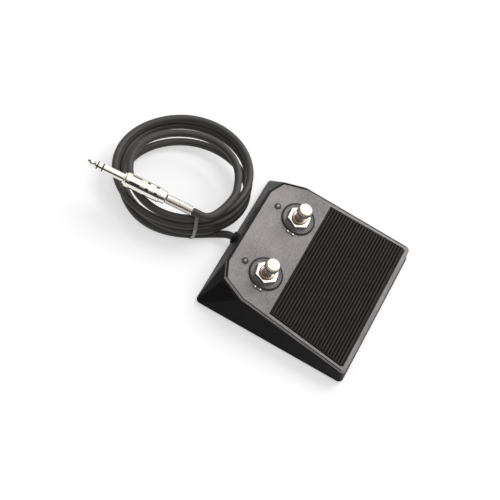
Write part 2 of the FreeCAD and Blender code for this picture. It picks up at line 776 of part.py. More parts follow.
def make_circuit_board():
    """The board under the lamps, drilled for its screws and the lamp legs."""
    size = (BOARD_WIDTH, BOARD_LENGTH, BOARD_THICKNESS)
    board = block(size, (0, 0), BOARD_BOTTOM)
    for sign in SIDES.values():
        hole = rod(BOARD_SCREW_RADIUS + SCREW_HOLE_GAP, BOARD_BOTTOM - 1, 1, sign * BOARD_POST_SPACING / 2)
        board = board.cut(hole)
        for leg in SIDES.values():
            x = sign * SWITCH_SPACING / 2 + leg * LAMP_LEG_PITCH / 2
            board = board.cut(block((LAMP_LEG_SIDE, LAMP_LEG_SIDE, BOARD_DEPTH), (x, 0), BOARD_BOTTOM - 1))
    return board


# Cord fittings at the casing

def cord_frame():
    """Where the cord crosses the casing: its own Z runs to the rear along the cord."""
    return Placement(Vector(CORD_EXIT_X, 0, CORD_EXIT_HEIGHT), Rotation(Vector(1, 0, 0), -90))


def rear_wall_y(inset, z):
    """The rear wall's face at a height, drawn in by an inset as the casing is."""
    foot = CASE_DEPTH / 2 - inset
    top = PANEL.multVec(Vector(0, PANEL_LENGTH - inset, 0))
    return foot - (foot - top.y) * (z - FOOT_HEIGHT) / (top.z - FOOT_HEIGHT)


def rear_wall_slab(inner, outer):
    """A slab that follows the rear wall, between two insets."""
    reach = 2 * CORD_EXIT_HEIGHT
    points = []
    for inset, z in ((inner, 0), (outer, 0), (outer, reach), (inner, reach)):
        points.append(Vector(-CASE_WIDTH / 2, rear_wall_y(inset, z), z))
    face = Part.Face(Part.makePolygon(points + points[:1]))
    return face.extrude(Vector(CASE_WIDTH, 0, 0))


def make_grommet():
    """The rubber grommet: a groove over the wall, a flange on each side of it."""
    flange = GROMMET_FLANGE_THICKNESS
    body = moved(rod(GROMMET_FLANGE_RADIUS, 0, CASE_DEPTH), cord_frame())
    body = body.common(rear_wall_slab(WALL + flange, -flange))
    core = moved(rod(GROMMET_HOLE_RADIUS, 0, CASE_DEPTH), cord_frame())
    groove = rear_wall_slab(WALL, 0).cut(core)
    bore = moved(rod(CORD_RADIUS, 0, CASE_DEPTH), cord_frame())
    return body.cut(groove).cut(bore)


def clamp_middle_y():
    """Where the cord clamp sits along the cord."""
    inner_face = rear_wall_y(WALL, CORD_EXIT_HEIGHT)
    return inner_face - GROMMET_FLANGE_THICKNESS - CLAMP_FROM_GROMMET - CLAMP_LENGTH / 2


def clamp_screw_places():
    """Where the two clamp screws go into the base plate."""
    places = {}
    for side, sign in SIDES.items():
        places[side] = (CORD_EXIT_X + sign * CLAMP_SCREW_SPACING / 2, clamp_middle_y())
    return places


def make_cord_clamp():
    """A saddle over the cord with an ear on each side."""
    y = clamp_middle_y()
    top = CORD_EXIT_HEIGHT + CORD_RADIUS + CLAMP_ROOF
    saddle = block((CLAMP_SADDLE_WIDTH, CLAMP_LENGTH, top - BASE_TOP), (CORD_EXIT_X, y), BASE_TOP)
    ears = block((CLAMP_WIDTH, CLAMP_LENGTH, CLAMP_EAR_HEIGHT), (CORD_EXIT_X, y), BASE_TOP)
    clamp = saddle.fuse(ears).cut(moved(rod(CORD_RADIUS, 0, CASE_DEPTH), cord_frame()))
    for x, screw_y in clamp_screw_places().values():
        clamp = clamp.cut(rod(CLAMP_SCREW_RADIUS, 0, top, x, screw_y))
    return clamp.removeSplitter()


def cord_inner_end():
    """Where the cord's jacket ends inside the casing."""
    return Vector(CORD_EXIT_X, clamp_middle_y() - CLAMP_LENGTH / 2 - CORD_TAIL_INSIDE, CORD_EXIT_HEIGHT)


def make_cord_wires():
    """The wires that leave the jacket, bend upwards and end under the board."""
    start = cord_inner_end()
    wires = []
    for i in range(WIRE_COUNT):
        x = start.x + (i - (WIRE_COUNT - 1) / 2) * WIRE_PITCH
        first = Vector(x, start.y, start.z)
        corner = Vector(x, start.y - 2 * WIRE_BEND, start.z)
        rise_from = corner + UP * WIRE_BEND
        bend_from = corner + Vector(0, WIRE_BEND, 0)
        head = corner + UP * THROUGH
        edges = [Part.makeLine(first, bend_from), arc_between(bend_from, corner, rise_from),
                 Part.makeLine(rise_from, head)]
        wires.append(sweep_round(edges, WIRE_RADIUS))
    under_board = above_panel(BOARD_BOTTOM)
    return [wire.cut(under_board) for wire in wires]


# Cord outside the casing

def coil_point(turn):
    """Centre line of the coil after a number of turns."""
    angle = math.radians(360 * turn + COIL_PHASE)
    twist = math.radians(COIL_TWIST)
    rx = COIL_RADII[0] + COIL_GROWTH[0] * turn + COIL_GROWTH_CHANGE[0] * turn ** 2
    ry = COIL_RADII[1] + COIL_GROWTH[1] * turn + COIL_GROWTH_CHANGE[1] * turn ** 2
    u = -rx * math.cos(angle)
    v = ry * math.sin(angle)
    x = COIL_CENTRE[0] + COIL_DRIFT[0] * turn + COIL_DRIFT_CHANGE[0] * turn ** 2
    y = COIL_CENTRE[1] + COIL_DRIFT[1] * turn + COIL_DRIFT_CHANGE[1] * turn ** 2
    wave = math.sin(2 * math.pi * (turn - COIL_CLIMB_PHASE)) + math.sin(2 * math.pi * COIL_CLIMB_PHASE)
    z = COIL_FIRST_HEIGHT + COIL_CLIMB * (turn + wave / (2 * math.pi))
    return REAR_FOOT + Vector(x + u * math.cos(twist) - v * math.sin(twist),
                              y + u * math.sin(twist) + v * math.cos(twist), z)


def coil_way(turn):
    """Direction of the coil's centre line."""
    return (coil_point(turn + TURN_STEP) - coil_point(turn - TURN_STEP)).normalize()


def plug_axis():
    """The plug's rear point and the direction of its tip."""
    rear = REAR_FOOT + Vector(*PLUG_REAR)
    return rear, (REAR_FOOT + Vector(*PLUG_TOWARDS) - rear).normalize()


def coil_edges():
    """The coil's whole centre line: straight start, turns, bend to the plug, straight end."""
    start = coil_point(COIL_START)
    way = coil_way(COIL_START)
    edges = [Part.makeLine(start - way * CORD_DIAMETER, start)]
    edges += curve_edges(coil_point, coil_way, COIL_START, COIL_END, COIL_STEPS)
    rear, plug_way = plug_axis()
    edges += biarc(coil_point(COIL_END), coil_way(COIL_END), rear, plug_way)
    edges.append(Part.makeLine(rear, rear + plug_way * PLUG_SPRING_LENGTH))
    return edges


def make_coil():
    """The coiled cord as one tube, up to the plug's collar."""
    edges = coil_edges()
    gap = least_gap(edges, CORD_DIAMETER, CORD_DIAMETER / 4, 10 * CORD_DIAMETER)
    tightest = min(edge.Curve.Radius for edge in edges if hasattr(edge.Curve, "Radius"))
    length = sum(edge.Length for edge in edges)
    print("coil: length %.0f mm, least gap to itself %.2f mm, tightest bend %.1f mm"
          % (length, gap, tightest))
    coil = sweep_round(edges, CORD_RADIUS)
    section = math.pi * CORD_RADIUS ** 2
    print("coil: volume %.0f, section times length %.0f" % (coil.Volume, section * length))
    return coil


def route_edges(points):
    """Straight runs joined by tangent arcs, each as large as its two runs allow."""
    edges = []
    here = points[0]
    for before, corner, after in zip(points, points[1:], points[2:]):
        back = before - corner
        ahead = after - corner
        cut = LEAD_BEND_SHARE * min(back.Length, ahead.Length)
        start = corner + back.normalize() * cut
        end = corner + ahead.normalize() * cut
        edges.append(Part.makeLine(here, start))
        arc = arc_between(start, corner, end)
        print("lead: bend radius %.1f mm" % arc.Curve.Radius)
        edges.append(arc)
        here = end
    edges.append(Part.makeLine(here, points[-1]))
    return edges


def make_lead():
    """The lead from the clamp through the grommet to the start of the coil."""
    end = coil_point(COIL_START) - coil_way(COIL_START) * CORD_DIAMETER
    last_corner = end - coil_way(COIL_START) * LEAD_STRAIGHT_END
    corners = [REAR_FOOT + Vector(*point) for point in LEAD_POINTS]
    points = [cord_inner_end()] + corners + [last_corner, end]
    edges = route_edges(points)
    lead = sweep_round(edges, CORD_RADIUS)
    length = sum(edge.Length for edge in edges)
    print("lead: length %.1f mm, volume %.0f, section times length %.0f"
          % (length, lead.Volume, math.pi * CORD_RADIUS ** 2 * length))
    return lead


def strand_turn(number, middle, along):
    """The turn at which a strand of the coil crosses the tie."""
    turn = float(number)
    for _ in range(10):
        ahead = coil_point(turn + TURN_STEP) - coil_point(turn - TURN_STEP)
        turn -= (coil_point(turn) - middle).dot(along) * 2 * TURN_STEP / ahead.dot(along)
    return turn


def make_cable_tie():
    """A band round the stacked strands, with its head on the inner side."""
    middle = coil_point(COIL_START)
    along = Vector(coil_way(COIL_START).x, coil_way(COIL_START).y, 0).normalize()
    across = UP.cross(along)
    centres = [Vector(0, middle.z, 0)]
    for number in range(1, TIE_STRANDS):
        strand = coil_point(strand_turn(number, middle, along))
        centres.append(Vector((strand - middle).dot(across), strand.z, 0))
    outline = Part.Face(Part.makePolygon(centres + centres[:1]))
    inside = CORD_RADIUS + TIE_GAP
    outside = inside + TIE_THICKNESS
    band = outline.makeOffset2D(outside).cut(outline.makeOffset2D(inside))
    band = band.extrude(Vector(0, 0, TIE_WIDTH))
    rise = (TIE_HEAD_HEIGHT - centres[0].y) / (centres[-1].y - centres[0].y)
    flank = centres[0].x + (centres[-1].x - centres[0].x) * rise - outside
    head_depth, head_height, head_width = TIE_HEAD
    head = Part.makeBox(head_depth + TIE_THICKNESS / 2, head_height, head_width,
                        Vector(flank - head_depth, TIE_HEAD_HEIGHT - head_height / 2,
                               (TIE_WIDTH - head_width) / 2))
    tie = band.fuse(head).cut(outline.makeOffset2D(inside).extrude(Vector(0, 0, TIE_WIDTH)))
    foot = Vector(middle.x, middle.y, 0) - along * (TIE_WIDTH / 2)
    return moved(tie, Placement(foot, Rotation(across, UP, along, "ZXY")))


# Plug pieces, each about the plug's axis

def on_plug(shape, start):
    """Set a shape built about Z on the plug's axis, at a distance from its rear end."""
    rear, way = plug_axis()
    return moved(shape, Placement(rear + way * start, Rotation(UP, way)))


def make_strain_spring():
    """The close spring that guards the cord where it enters the plug."""
    radius = CORD_RADIUS + PLUG_SPRING_CORD_GAP + PLUG_SPRING_WIRE / 2
    ends = PLUG_SPRING_WIRE + 2 * PLUG_SPRING_SEAT_GAP
    curls = int((PLUG_SPRING_LENGTH - ends) / PLUG_SPRING_PITCH)
    low = PLUG_SPRING_LENGTH - ends / 2 - curls * PLUG_SPRING_PITCH
    return make_spring("plug spring", radius, PLUG_SPRING_WIRE, PLUG_SPRING_PITCH, curls, low)


def make_plug_collar():
    """The collar that closes the barrel over the spring."""
    return turned([
        (0, 0),
        (COLLAR_RADIUS - COLLAR_EDGE, 0),
        (COLLAR_RADIUS, COLLAR_EDGE),
        (COLLAR_RADIUS, COLLAR_LENGTH),
        (0, COLLAR_LENGTH),
        (0, 0),
    ])


def around_barrel(barrel, count, width, low, length):
    """Cut a ring of shallow flat pockets into the barrel."""
    for i in range(count):
        pocket = block((2 * BARREL_MARK_DEPTH, width, length), (BARREL_RADIUS, 0), low)
        pocket.rotate(Vector(0, 0, 0), UP, 360.0 * i / count)
        barrel = barrel.cut(pocket)
    return barrel


def make_plug_barrel():
    """The barrel, with long slots near its front and two bands of short pockets."""
    barrel = turned([
        (0, 0),
        (BARREL_RADIUS, 0),
        (BARREL_RADIUS, BARREL_LENGTH - BARREL_EDGE),
        (BARREL_RADIUS - BARREL_EDGE, BARREL_LENGTH),
        (0, BARREL_LENGTH),
        (0, 0),
    ])
    slot_low = BARREL_LENGTH - BARREL_SLOT_START - BARREL_SLOT_LENGTH
    barrel = around_barrel(barrel, BARREL_SLOT_COUNT, BARREL_SLOT_WIDTH, slot_low, BARREL_SLOT_LENGTH)
    for distance in BARREL_MARK_BANDS:
        low = BARREL_LENGTH - distance - BARREL_MARK_LENGTH
        barrel = around_barrel(barrel, BARREL_MARK_COUNT, BARREL_MARK_WIDTH, low, BARREL_MARK_LENGTH)
    return barrel


def sleeve_length():
    """The length of the plug pin's rear contact."""
    return PIN_LENGTH - PIN_TIP_LENGTH - PIN_RING_LENGTH - 2 * PIN_INSULATOR_LENGTH


def make_plug_sleeve():
    """The pin's rear contact, with the flange that stops it against a socket."""
    return turned([
        (0, 0),
        (PIN_FLANGE_RADIUS, 0),
        (PIN_FLANGE_RADIUS, PIN_FLANGE_THICKNESS),
        (PIN_RADIUS, PIN_FLANGE_THICKNESS),
        (PIN_RADIUS, PIN_FLANGE_THICKNESS + sleeve_length()),
        (0, PIN_FLANGE_THICKNESS + sleeve_length()),
        (0, 0),
    ])


def make_plug_tip():
    """The pin's front contact, with its neck, ball and nose."""
    nose = PIN_TIP_NOSE_RADIUS
    bend = nose * math.sqrt(0.5)
    return turned([
        (0, 0),
        (PIN_RADIUS, 0),
        (PIN_RADIUS, PIN_TIP_LAND),
        (PIN_TIP_NECK_RADIUS, PIN_TIP_NECK_AT),
        (PIN_TIP_BALL_RADIUS, PIN_TIP_BALL_AT),
        (nose, PIN_TIP_LENGTH - nose),
        (bend, PIN_TIP_LENGTH - nose + bend, 0, PIN_TIP_LENGTH),
        (0, 0),
    ])


# Assembly

def add_casing():
    """The casing, its mat, feet and screws."""
    add("top_cover", make_top_cover())
    add("body_shell", make_body_shell())
    add("base_plate", make_base_plate())
    add("tread_mat", make_tread_mat())
    for name, (x, y) in foot_places().items():
        add("foot_" + name, moved(make_foot(), Placement(Vector(x, y, 0), Rotation())))
    for name, (x, y) in boss_places().items():
        screw = make_screw(CASE_SCREW_RADIUS, CASE_SCREW_LENGTH, CASE_SCREW_HEAD_RADIUS,
                           CASE_SCREW_HEAD_HEIGHT)
        add("case_screw_" + name, moved(screw, Placement(Vector(x, y, FOOT_HEIGHT), Rotation())))


def add_switches():
    """Both footswitches."""
    spring_space = FLANGE_BOTTOM - HOUSING_BOTTOM - SPRING_WIRE - 2 * SPRING_SEAT_GAP
    spring_low = HOUSING_BOTTOM + SPRING_WIRE / 2 + SPRING_SEAT_GAP
    for side, sign in SIDES.items():
        pieces = {
            "dress_washer": make_dress_washer(),
            "panel_nut": make_panel_nut(NUT_TURN[side]),
            "lock_washer": make_lock_washer(),
            "switch_body": make_switch_body(),
            "terminals": make_terminals(),
            "plunger": make_plunger(),
            "button_cap": make_button_cap(),
            "return_spring": make_spring("return spring", SPRING_RADIUS, SPRING_WIRE,
                                         spring_space / SPRING_CURLS, SPRING_CURLS, spring_low),
        }
        for name, shape in pieces.items():
            add(side + "_" + name, on_panel(shape, sign * SWITCH_SPACING / 2, SWITCH_V))


def add_indicators():
    """The lamps, their bezels and the board with its screws."""
    add("circuit_board", on_panel(make_circuit_board(), 0, LAMP_V))
    upside = Placement(Vector(0, 0, BOARD_BOTTOM), Rotation())
    for side, sign in SIDES.items():
        add(side + "_lamp", on_panel(make_lamp(), sign * SWITCH_SPACING / 2, LAMP_V))
        add(side + "_lamp_bezel", on_panel(make_lamp_bezel(), sign * SWITCH_SPACING / 2, LAMP_V))
        screw = make_screw(BOARD_SCREW_RADIUS, BOARD_SCREW_LENGTH, BOARD_SCREW_HEAD_RADIUS,
                           BOARD_SCREW_HEAD_HEIGHT)
        add("board_screw_" + side,
            on_panel(moved(screw, upside), sign * BOARD_POST_SPACING / 2, LAMP_V))


def add_cord():
    """The cord from the wires inside the casing to the coil, and what holds it."""
    add("cord_grommet", make_grommet())
    add("cord_clamp", make_cord_clamp())
    length = CLAMP_EAR_HEIGHT + BASE_PLATE_THICKNESS
    for side, (x, y) in clamp_screw_places().items():
        screw = make_screw(CLAMP_SCREW_RADIUS, length, CLAMP_SCREW_HEAD_RADIUS, CLAMP_SCREW_HEAD_HEIGHT)
        seat = Vector(x, y, BASE_TOP + CLAMP_EAR_HEIGHT)
        add("clamp_screw_" + side, moved(screw, Placement(seat, Rotation(Vector(1, 0, 0), 180))))
    for i, wire in enumerate(make_cord_wires()):
        add("cord_wire_%d" % (i + 1), wire)
    add("cord_lead", make_lead())
    add("cord_coil", make_coil())
    add("cable_tie", make_cable_tie())


def add_plug():
    """The plug, from the strain relief spring to the tip."""
    insulator = rod(PIN_RADIUS, 0, PIN_INSULATOR_LENGTH)
    collar_at = PLUG_SPRING_LENGTH
    barrel_at = collar_at + COLLAR_LENGTH
    sleeve_at = barrel_at + BARREL_LENGTH
    rear_insulator_at = sleeve_at + PIN_FLANGE_THICKNESS + sleeve_length()
    ring_at = rear_insulator_at + PIN_INSULATOR_LENGTH
    front_insulator_at = ring_at + PIN_RING_LENGTH
    tip_at = front_insulator_at + PIN_INSULATOR_LENGTH
    add("plug_spring", on_plug(make_strain_spring(), 0))
    add("plug_collar", on_plug(make_plug_collar(), collar_at))
    add("plug_barrel", on_plug(make_plug_barrel(), barrel_at))
    add("plug_sleeve", on_plug(make_plug_sleeve(), sleeve_at))
    add("plug_rear_insulator", on_plug(insulator, rear_insulator_at))
    add("plug_ring", on_plug(rod(PIN_RADIUS, 0, PIN_RING_LENGTH), ring_at))
    add("plug_front_insulator", on_plug(insulator, front_insulator_at))
    add("plug_tip", on_plug(make_plug_tip(), tip_at))


add_casing()
add_switches()
add_indicators()
add_cord()
add_plug()

os.makedirs("parts", exist_ok=True)
for name, shape in parts.items():
    print("%-24s solids %d valid %s volume %.1f" % (name, len(shape.Solids), shape.isValid(), shape.Volume))
    shape.exportStep("parts/%s.step" % name)
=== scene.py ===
"""Foot pedal switch: the visible pieces, finishes and studio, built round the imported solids.

Sizes in the pieces' own profiles are in millimetres and are turned into metres by MM. The
panel has its own frame, PANEL: X to the operator's right, Y up the slope from the front
edge and Z out of its face. The plug has another, PLUG, whose Z runs towards its tip.
"""

import math

import bpy
from bpy.props import FloatProperty, FloatVectorProperty, IntProperty, PointerProperty
from bpy.types import NodeSocket, Operator, Panel, PropertyGroup
from mathutils import Matrix, Vector


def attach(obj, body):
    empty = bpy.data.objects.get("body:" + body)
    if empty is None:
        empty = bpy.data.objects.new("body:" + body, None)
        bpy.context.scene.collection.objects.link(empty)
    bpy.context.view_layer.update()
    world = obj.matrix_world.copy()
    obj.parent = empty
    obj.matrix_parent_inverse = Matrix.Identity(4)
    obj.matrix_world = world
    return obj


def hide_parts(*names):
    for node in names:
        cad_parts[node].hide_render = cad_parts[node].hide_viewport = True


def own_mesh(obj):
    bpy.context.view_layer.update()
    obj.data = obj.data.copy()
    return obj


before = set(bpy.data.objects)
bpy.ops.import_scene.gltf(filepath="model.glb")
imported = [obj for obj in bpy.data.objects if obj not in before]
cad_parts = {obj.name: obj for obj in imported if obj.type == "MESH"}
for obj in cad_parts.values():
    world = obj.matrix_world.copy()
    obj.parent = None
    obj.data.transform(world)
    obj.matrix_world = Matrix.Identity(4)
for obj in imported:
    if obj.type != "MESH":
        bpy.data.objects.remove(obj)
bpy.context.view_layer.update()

bl_info = {
    "name": "Foot pedal switch",
    "version": (1, 0, 0),
    "blender": (4, 5, 0),
    "location": "3D View > Sidebar > Footswitch",
    "description": "Builds a two-button foot pedal switch with a coiled lead",
    "category": "Add Mesh",
}

MM = 0.001
MERGE_DISTANCE = 0.001 * MM
SIDES = {"left": -1, "right": 1}

# Casing and panel
PANEL_FRONT_Y, PANEL_FRONT_Z, PANEL_SLOPE = -59.1, 16.5, math.radians(7.0)
PANEL = (Matrix.Translation((0, PANEL_FRONT_Y * MM, PANEL_FRONT_Z * MM))
         @ Matrix.Rotation(PANEL_SLOPE, 4, "X"))
PANEL_OUTLINE = ((64.0, 0.0), (58.1, 91.45), (50.2, 110.5), (36.5, 116.4),
                 (-36.5, 116.4), (-50.2, 110.5), (-58.1, 91.45), (-64.0, 0.0))
PANEL_REAR_SIDES = (1, 2, 3, 4)
BLANK_WIDTH, BLANK_DEPTH, BLANK_MIDDLE = 140.0, 130.0, 58.0
SEAM_FROM_EDGE, SEAM_WIDTH = 0.8, 0.8
SEAM_FROM_REAR, SEAM_REAR_WIDTH = -0.04, 1.9
SEAM_BOTTOM, SEAM_TOP, SEAM_START = -0.9, 0.03, 0.6
SEAM_CUT_BOTTOM, SEAM_CUT_TOP = -1.5, 1.0
NOSE_WIDTH, NOSE_REACH, NOSE_BACK, NOSE_TOP, NOSE_DROP = 128.4, 2.5, 20.0, 0.05, 5.2
NOSE_ROUND, NOSE_FOOT, NOSE_CORNER = 2.0, 1.6, 3.6
NOSE_END_X, NOSE_END_Z, NOSE_END_SLOPE = 63.6, -1.6, math.atan2(0.3, 0.95)
NOSE_CUT_SIZE = (60.0, 60.0, 10.0)
MAT_START, MAT_END = 2.8, 68.5
MAT_HALF_FRONT, MAT_HALF_REAR = 59.8, 54.9
MAT_FLOOR, MAT_WEB_TOP, MAT_BORDER, MAT_BLANK_WIDTH = -1.0, -0.1, 1.1, 130.0
BORDER_OUTER, BORDER_INNER, BORDER_RISE = 0.3, 0.2, 0.6
RIB_WIDTH, RIB_SINK, RIB_TAPER = 1.8, 0.2, 0.72
LIP_WIDTH, LIP_HEIGHT, LIP_OVER_MAT, LIP_LIFT, LIP_INSET = 2.0, 0.35, 0.3, 0.02, 0.5
FOOT_PLACES = {"front": (55.0, -53.0), "rear": (55.0, 53.0)}
SCREW_PLACES = {"front": (36.0, -50.0), "rear": (44.0, 43.0)}
SCREW_SEAT = 3.0
CROSS_LENGTH, CROSS_WIDTH, CROSS_DEPTH, CROSS_MIDDLE = 3.0, 0.6, 1.4, -1.3

# Footswitches and lamps, as distances on the panel and out of it
SWITCH_X, SWITCH_Y = 28.5, 85.9
LAMP_Y = 104.5
NUT_TURNS = {"left": 12.0, "right": 4.0}
NUT_ACROSS, NUT_MIDDLE, NUT_HEIGHT = 16.5, 2.4, 2.8
TAB_SIZE, TAB_AT = (4.2, 7.6, 0.65), -13.3
TAB_RIVET_AT, TAB_RIVET_APART = -14.35, 2.2
LAMP_LEG_SIZE, LAMP_LEG_MIDDLE, LAMP_LEG_APART = (0.5, 0.5, 7.3), -7.45, 0.8
THREAD_START, THREAD_END, THREAD_PITCH = 1.0, 3.9, 0.6
RETURN_SPRING_BOTTOM, RETURN_SPRING_TOP, RETURN_SPRING_TURNS = -14.45, -6.55, 6
RETURN_SPRING_RADIUS, RETURN_SPRING_WIRE, RETURN_SPRING_KEEP = 4.6, 0.3, 0.64
RETURN_SPRING_STEPS = 16
CAP_BOTTOM, CAP_TOP, CAP_RADIUS, CAP_DOME, CAP_SHOULDER = 12.4, 18.9, 5.9, 1.1, 1.2
DOME_STEPS, SHOULDER_STEPS = 8, 6
SHAFT_RADIUS, SHAFT_END, SHAFT_GROOVES = 4.0, 16.0, (8.0, 10.6)

# Cord: where it starts and leaves the casing, and the lead's points
CORD_INNER_END = Vector((-2.5, 43.8, 8.0))
CORD_EXIT = Vector((-2.5, 61.8, 8.0))
LEAD_POINTS = (Vector((-2.5, 67.2, 8.0)), Vector((-4.4, 73.6, 5.0)))
LEAD_STRAIGHT_END = 6.0
TIE_SHIFT = Vector((-1.6, 3.2, 0.0))
COIL_END = 3.8
COIL_CENTRE = (9.65, 112.81)
COIL_DRIFT = (12.74, 7.65)
COIL_DRIFT_CHANGE = (-3.12, -1.70)
COIL_RADII = (44.62, 33.26)
COIL_GROWTH = (10.03, 17.57)
COIL_GROWTH_CHANGE = (-2.93, -4.69)
COIL_TWIST, COIL_PHASE = math.radians(115.7), math.radians(76.2)
COIL_FIRST_HEIGHT, COIL_CLIMB, COIL_CLIMB_PHASE = 4.0, 7.0, 0.6
TURN_STEP = 0.0005

# Strands that lie off the even coil: (turn, reach in turns, how far outwards)
COIL_NUDGES = ((0.14, 0.12, 1.4), (0.34, 0.16, 2.0), (0.48, 0.22, 1.8), (1.25, 0.25, -3.0),
               (1.5, 0.25, -2.9), (1.75, 0.25, -2.0), (2.25, 0.25, 3.2), (2.43, 0.25, -1.6),
               (2.66, 0.25, 2.4), (3.12, 0.15, 2.3), (3.25, 0.25, -1.8), (3.5, 0.25, -2.3),
               (3.62, 0.17, 2.4))

# Plug: lengths along its axis from the rear of its spring
PLUG_REAR = Vector((-15.5, 97.1, 32.8))
PLUG_WAY = (Vector((-24.4, 182.5, 37.2)) - PLUG_REAR).normalized()
PLUG_TURN = Vector((0, 0, 1)).rotation_difference(PLUG_WAY).to_matrix().to_4x4()
PLUG = Matrix.Translation(PLUG_REAR * MM) @ PLUG_TURN
SPRING_LENGTH, SPRING_RADIUS, SPRING_WIRE, SPRING_MARGIN = 23.0, 3.5, 0.42, 0.6
SPRING_STEPS = 14
COLLAR_LENGTH = 4.5
BARREL_LENGTH, BARREL_RADIUS = 29.0, 5.8
WINDOW_ROWS = ((16.9, 1.5, 8.0), (9.9, 1.9, 2.6), (2.5, 1.9, 2.6))
WINDOWS_ROUND, WINDOW_DEPTH, WINDOW_TURN = 6, 1.5, math.radians(-4.0)
PIN_RADIUS, SLEEVE_LENGTH, BAND_LENGTH, RING_LENGTH = 3.175, 18.3, 1.0, 3.4

# Studio, in metres and watts
CAMERA_AT = (-0.6175, -0.0086, 1.0035)
CAMERA_WAY, CAMERA_UP = (0.5233, 0.0473, -0.8508), (0.7293, 0.4915, 0.4759)
KEY_LAMP_AT, KEY_LAMP_SIZE = (0.80, -0.26, 1.00), 0.8
FILL_LAMP_AT, FILL_LAMP_SIZE = (-0.7, 0.5, 1.1), 0.9
LAMPS_LOOK_AT = Vector((0, 0.03, 0))
FLOOR_LIFT = 0.5
GLOW_WAY = (0.60, -0.20, 0.77)
GLOW_RANGE, GLOW_STRENGTHS = (-0.1, 0.7), (0.04, 1.25)


# Modelling steps

def deselect():
    """Leave edit mode and select nothing."""
    if bpy.context.mode != "OBJECT":
        bpy.ops.object.mode_set(mode="OBJECT")
    bpy.ops.object.select_all(action="DESELECT")


def pick(piece):
    """Select one piece alone."""
    deselect()
    piece.select_set(True)
    bpy.context.view_layer.objects.active = piece


def edit(piece, chosen=None):
    """Enter edit mode with all vertices selected, or those that pass a test."""
    pick(piece)
    bpy.ops.object.mode_set(mode="EDIT")
    bpy.ops.mesh.select_mode(type="VERT")
    bpy.ops.mesh.select_all(action="DESELECT" if chosen else "SELECT")
    if chosen:
        bpy.ops.object.mode_set(mode="OBJECT")
        for vertex in piece.data.vertices:
            vertex.select = chosen(vertex)
        bpy.ops.object.mode_set(mode="EDIT")


def merge_points(piece):
    """Merge the points of a piece that lie on one another."""
    edit(piece)
    bpy.ops.mesh.remove_doubles(threshold=MERGE_DISTANCE)


def apply_place(piece):
    """Move a piece's place into its mesh."""
    pick(piece)
    bpy.ops.object.transform_apply(location=True, rotation=True, scale=True)
    return piece


def place(piece, matrix):
    """Set a piece that was built at the origin in its place."""
    piece.matrix_world = matrix @ piece.matrix_world
    return apply_place(piece)


def shift(x, y, z):
    """A move in millimetres."""
    return Matrix.Translation((x * MM, y * MM, z * MM))


def named(name):
    """Name the primitive that was just added."""
    piece = bpy.context.object
    piece.name = name
    piece.data.name = name
    return piece


def box(name, size, centre):
    """A block of a size, in millimetres, with its place applied."""
    deselect()
    bpy.ops.mesh.primitive_cube_add(size=1, location=[x * MM for x in centre])
    piece = named(name)
    piece.scale = [x * MM for x in size]
    return apply_place(piece)


def turned(name, rings, segments=64, soft=None):
    """Extrude a circle about Z through rings of (radius, height) in millimetres.

    A radius of zero at either end closes it in a pole; equal ends close it on itself. Edges
    that turn by less than the angle soft are shaded smooth.
    """
    pole_below = rings[0][0] == 0
    pole_above = rings[-1][0] == 0
    open_rings = rings[int(pole_below):len(rings) - int(pole_above)]
    radius, height = open_rings[0]
    deselect()
    bpy.ops.mesh.primitive_circle_add(vertices=segments, radius=radius * MM,
                                      location=(0, 0, height * MM))
    piece = apply_place(named(name))
    edit(piece)
    for (radius, height), (wide, high) in zip(open_rings, open_rings[1:]):
        extrude_up(high - height)
        bpy.ops.transform.resize(value=(wide / radius, wide / radius, 1),
                                 center_override=(0, 0, high * MM))
    if pole_above:
        extrude_up(rings[-1][1] - open_rings[-1][1])
        bpy.ops.mesh.merge(type="CENTER")
    if pole_below:
        edit(piece, lambda vertex: vertex.index < segments)
        extrude_up(rings[0][1] - open_rings[0][1])
        bpy.ops.mesh.merge(type="CENTER")
    merge_points(piece)
    bpy.ops.mesh.normals_make_consistent(inside=False)
    deselect()
    if soft:
        smooth(piece, soft)
    return piece


def extrude_up(rise):
    """Extrude the selection along Z."""
    bpy.ops.mesh.extrude_region_move(TRANSFORM_OT_translate={"value": (0, 0, rise * MM)})


def apply_modifier(piece, kind, **values):
    """Add a modifier with values, apply it and merge the points that it leaves on one another."""
    modifier = piece.modifiers.new(kind.title(), kind)
    for key, value in values.items():
        setattr(modifier, key, value)
    pick(piece)
    bpy.ops.object.modifier_apply(modifier=modifier.name)
    merge_points(piece)
    deselect()


def round_edges(piece, width, segments=3, angle=30.0):
    """Bevel the edges that turn by more than an angle."""
    apply_modifier(piece, "BEVEL", width=width * MM, segments=segments, limit_method="ANGLE",
                   angle_limit=math.radians(angle), use_clamp_overlap=True)


def smooth(piece, angle=35.0):
    """Shade smooth across edges that turn by less than an angle."""
    pick(piece)
    bpy.ops.object.shade_smooth_by_angle(angle=math.radians(angle))


def cut(piece, cutter, operation="DIFFERENCE"):
    """Cut one piece by another, which is used up."""
    apply_modifier(piece, "BOOLEAN", object=cutter, operation=operation, solver="EXACT")
    bpy.data.objects.remove(cutter)


def join(piece, *others):
    """Join pieces into the first one."""
    pick(piece)
    for other in others:
        other.select_set(True)
    bpy.ops.object.join()
    return piece


def copy_of(piece, name):
    """A second piece with its own mesh."""
    pick(piece)
    bpy.ops.object.duplicate(linked=False)
    return named(name)


def trim(piece, point, outward):
    """Cut away what lies outside a plane and close the cut."""
    edit(piece)
    bpy.ops.mesh.bisect(plane_co=[x * MM for x in point], plane_no=outward, use_fill=True,
                        clear_outer=True)
    deselect()


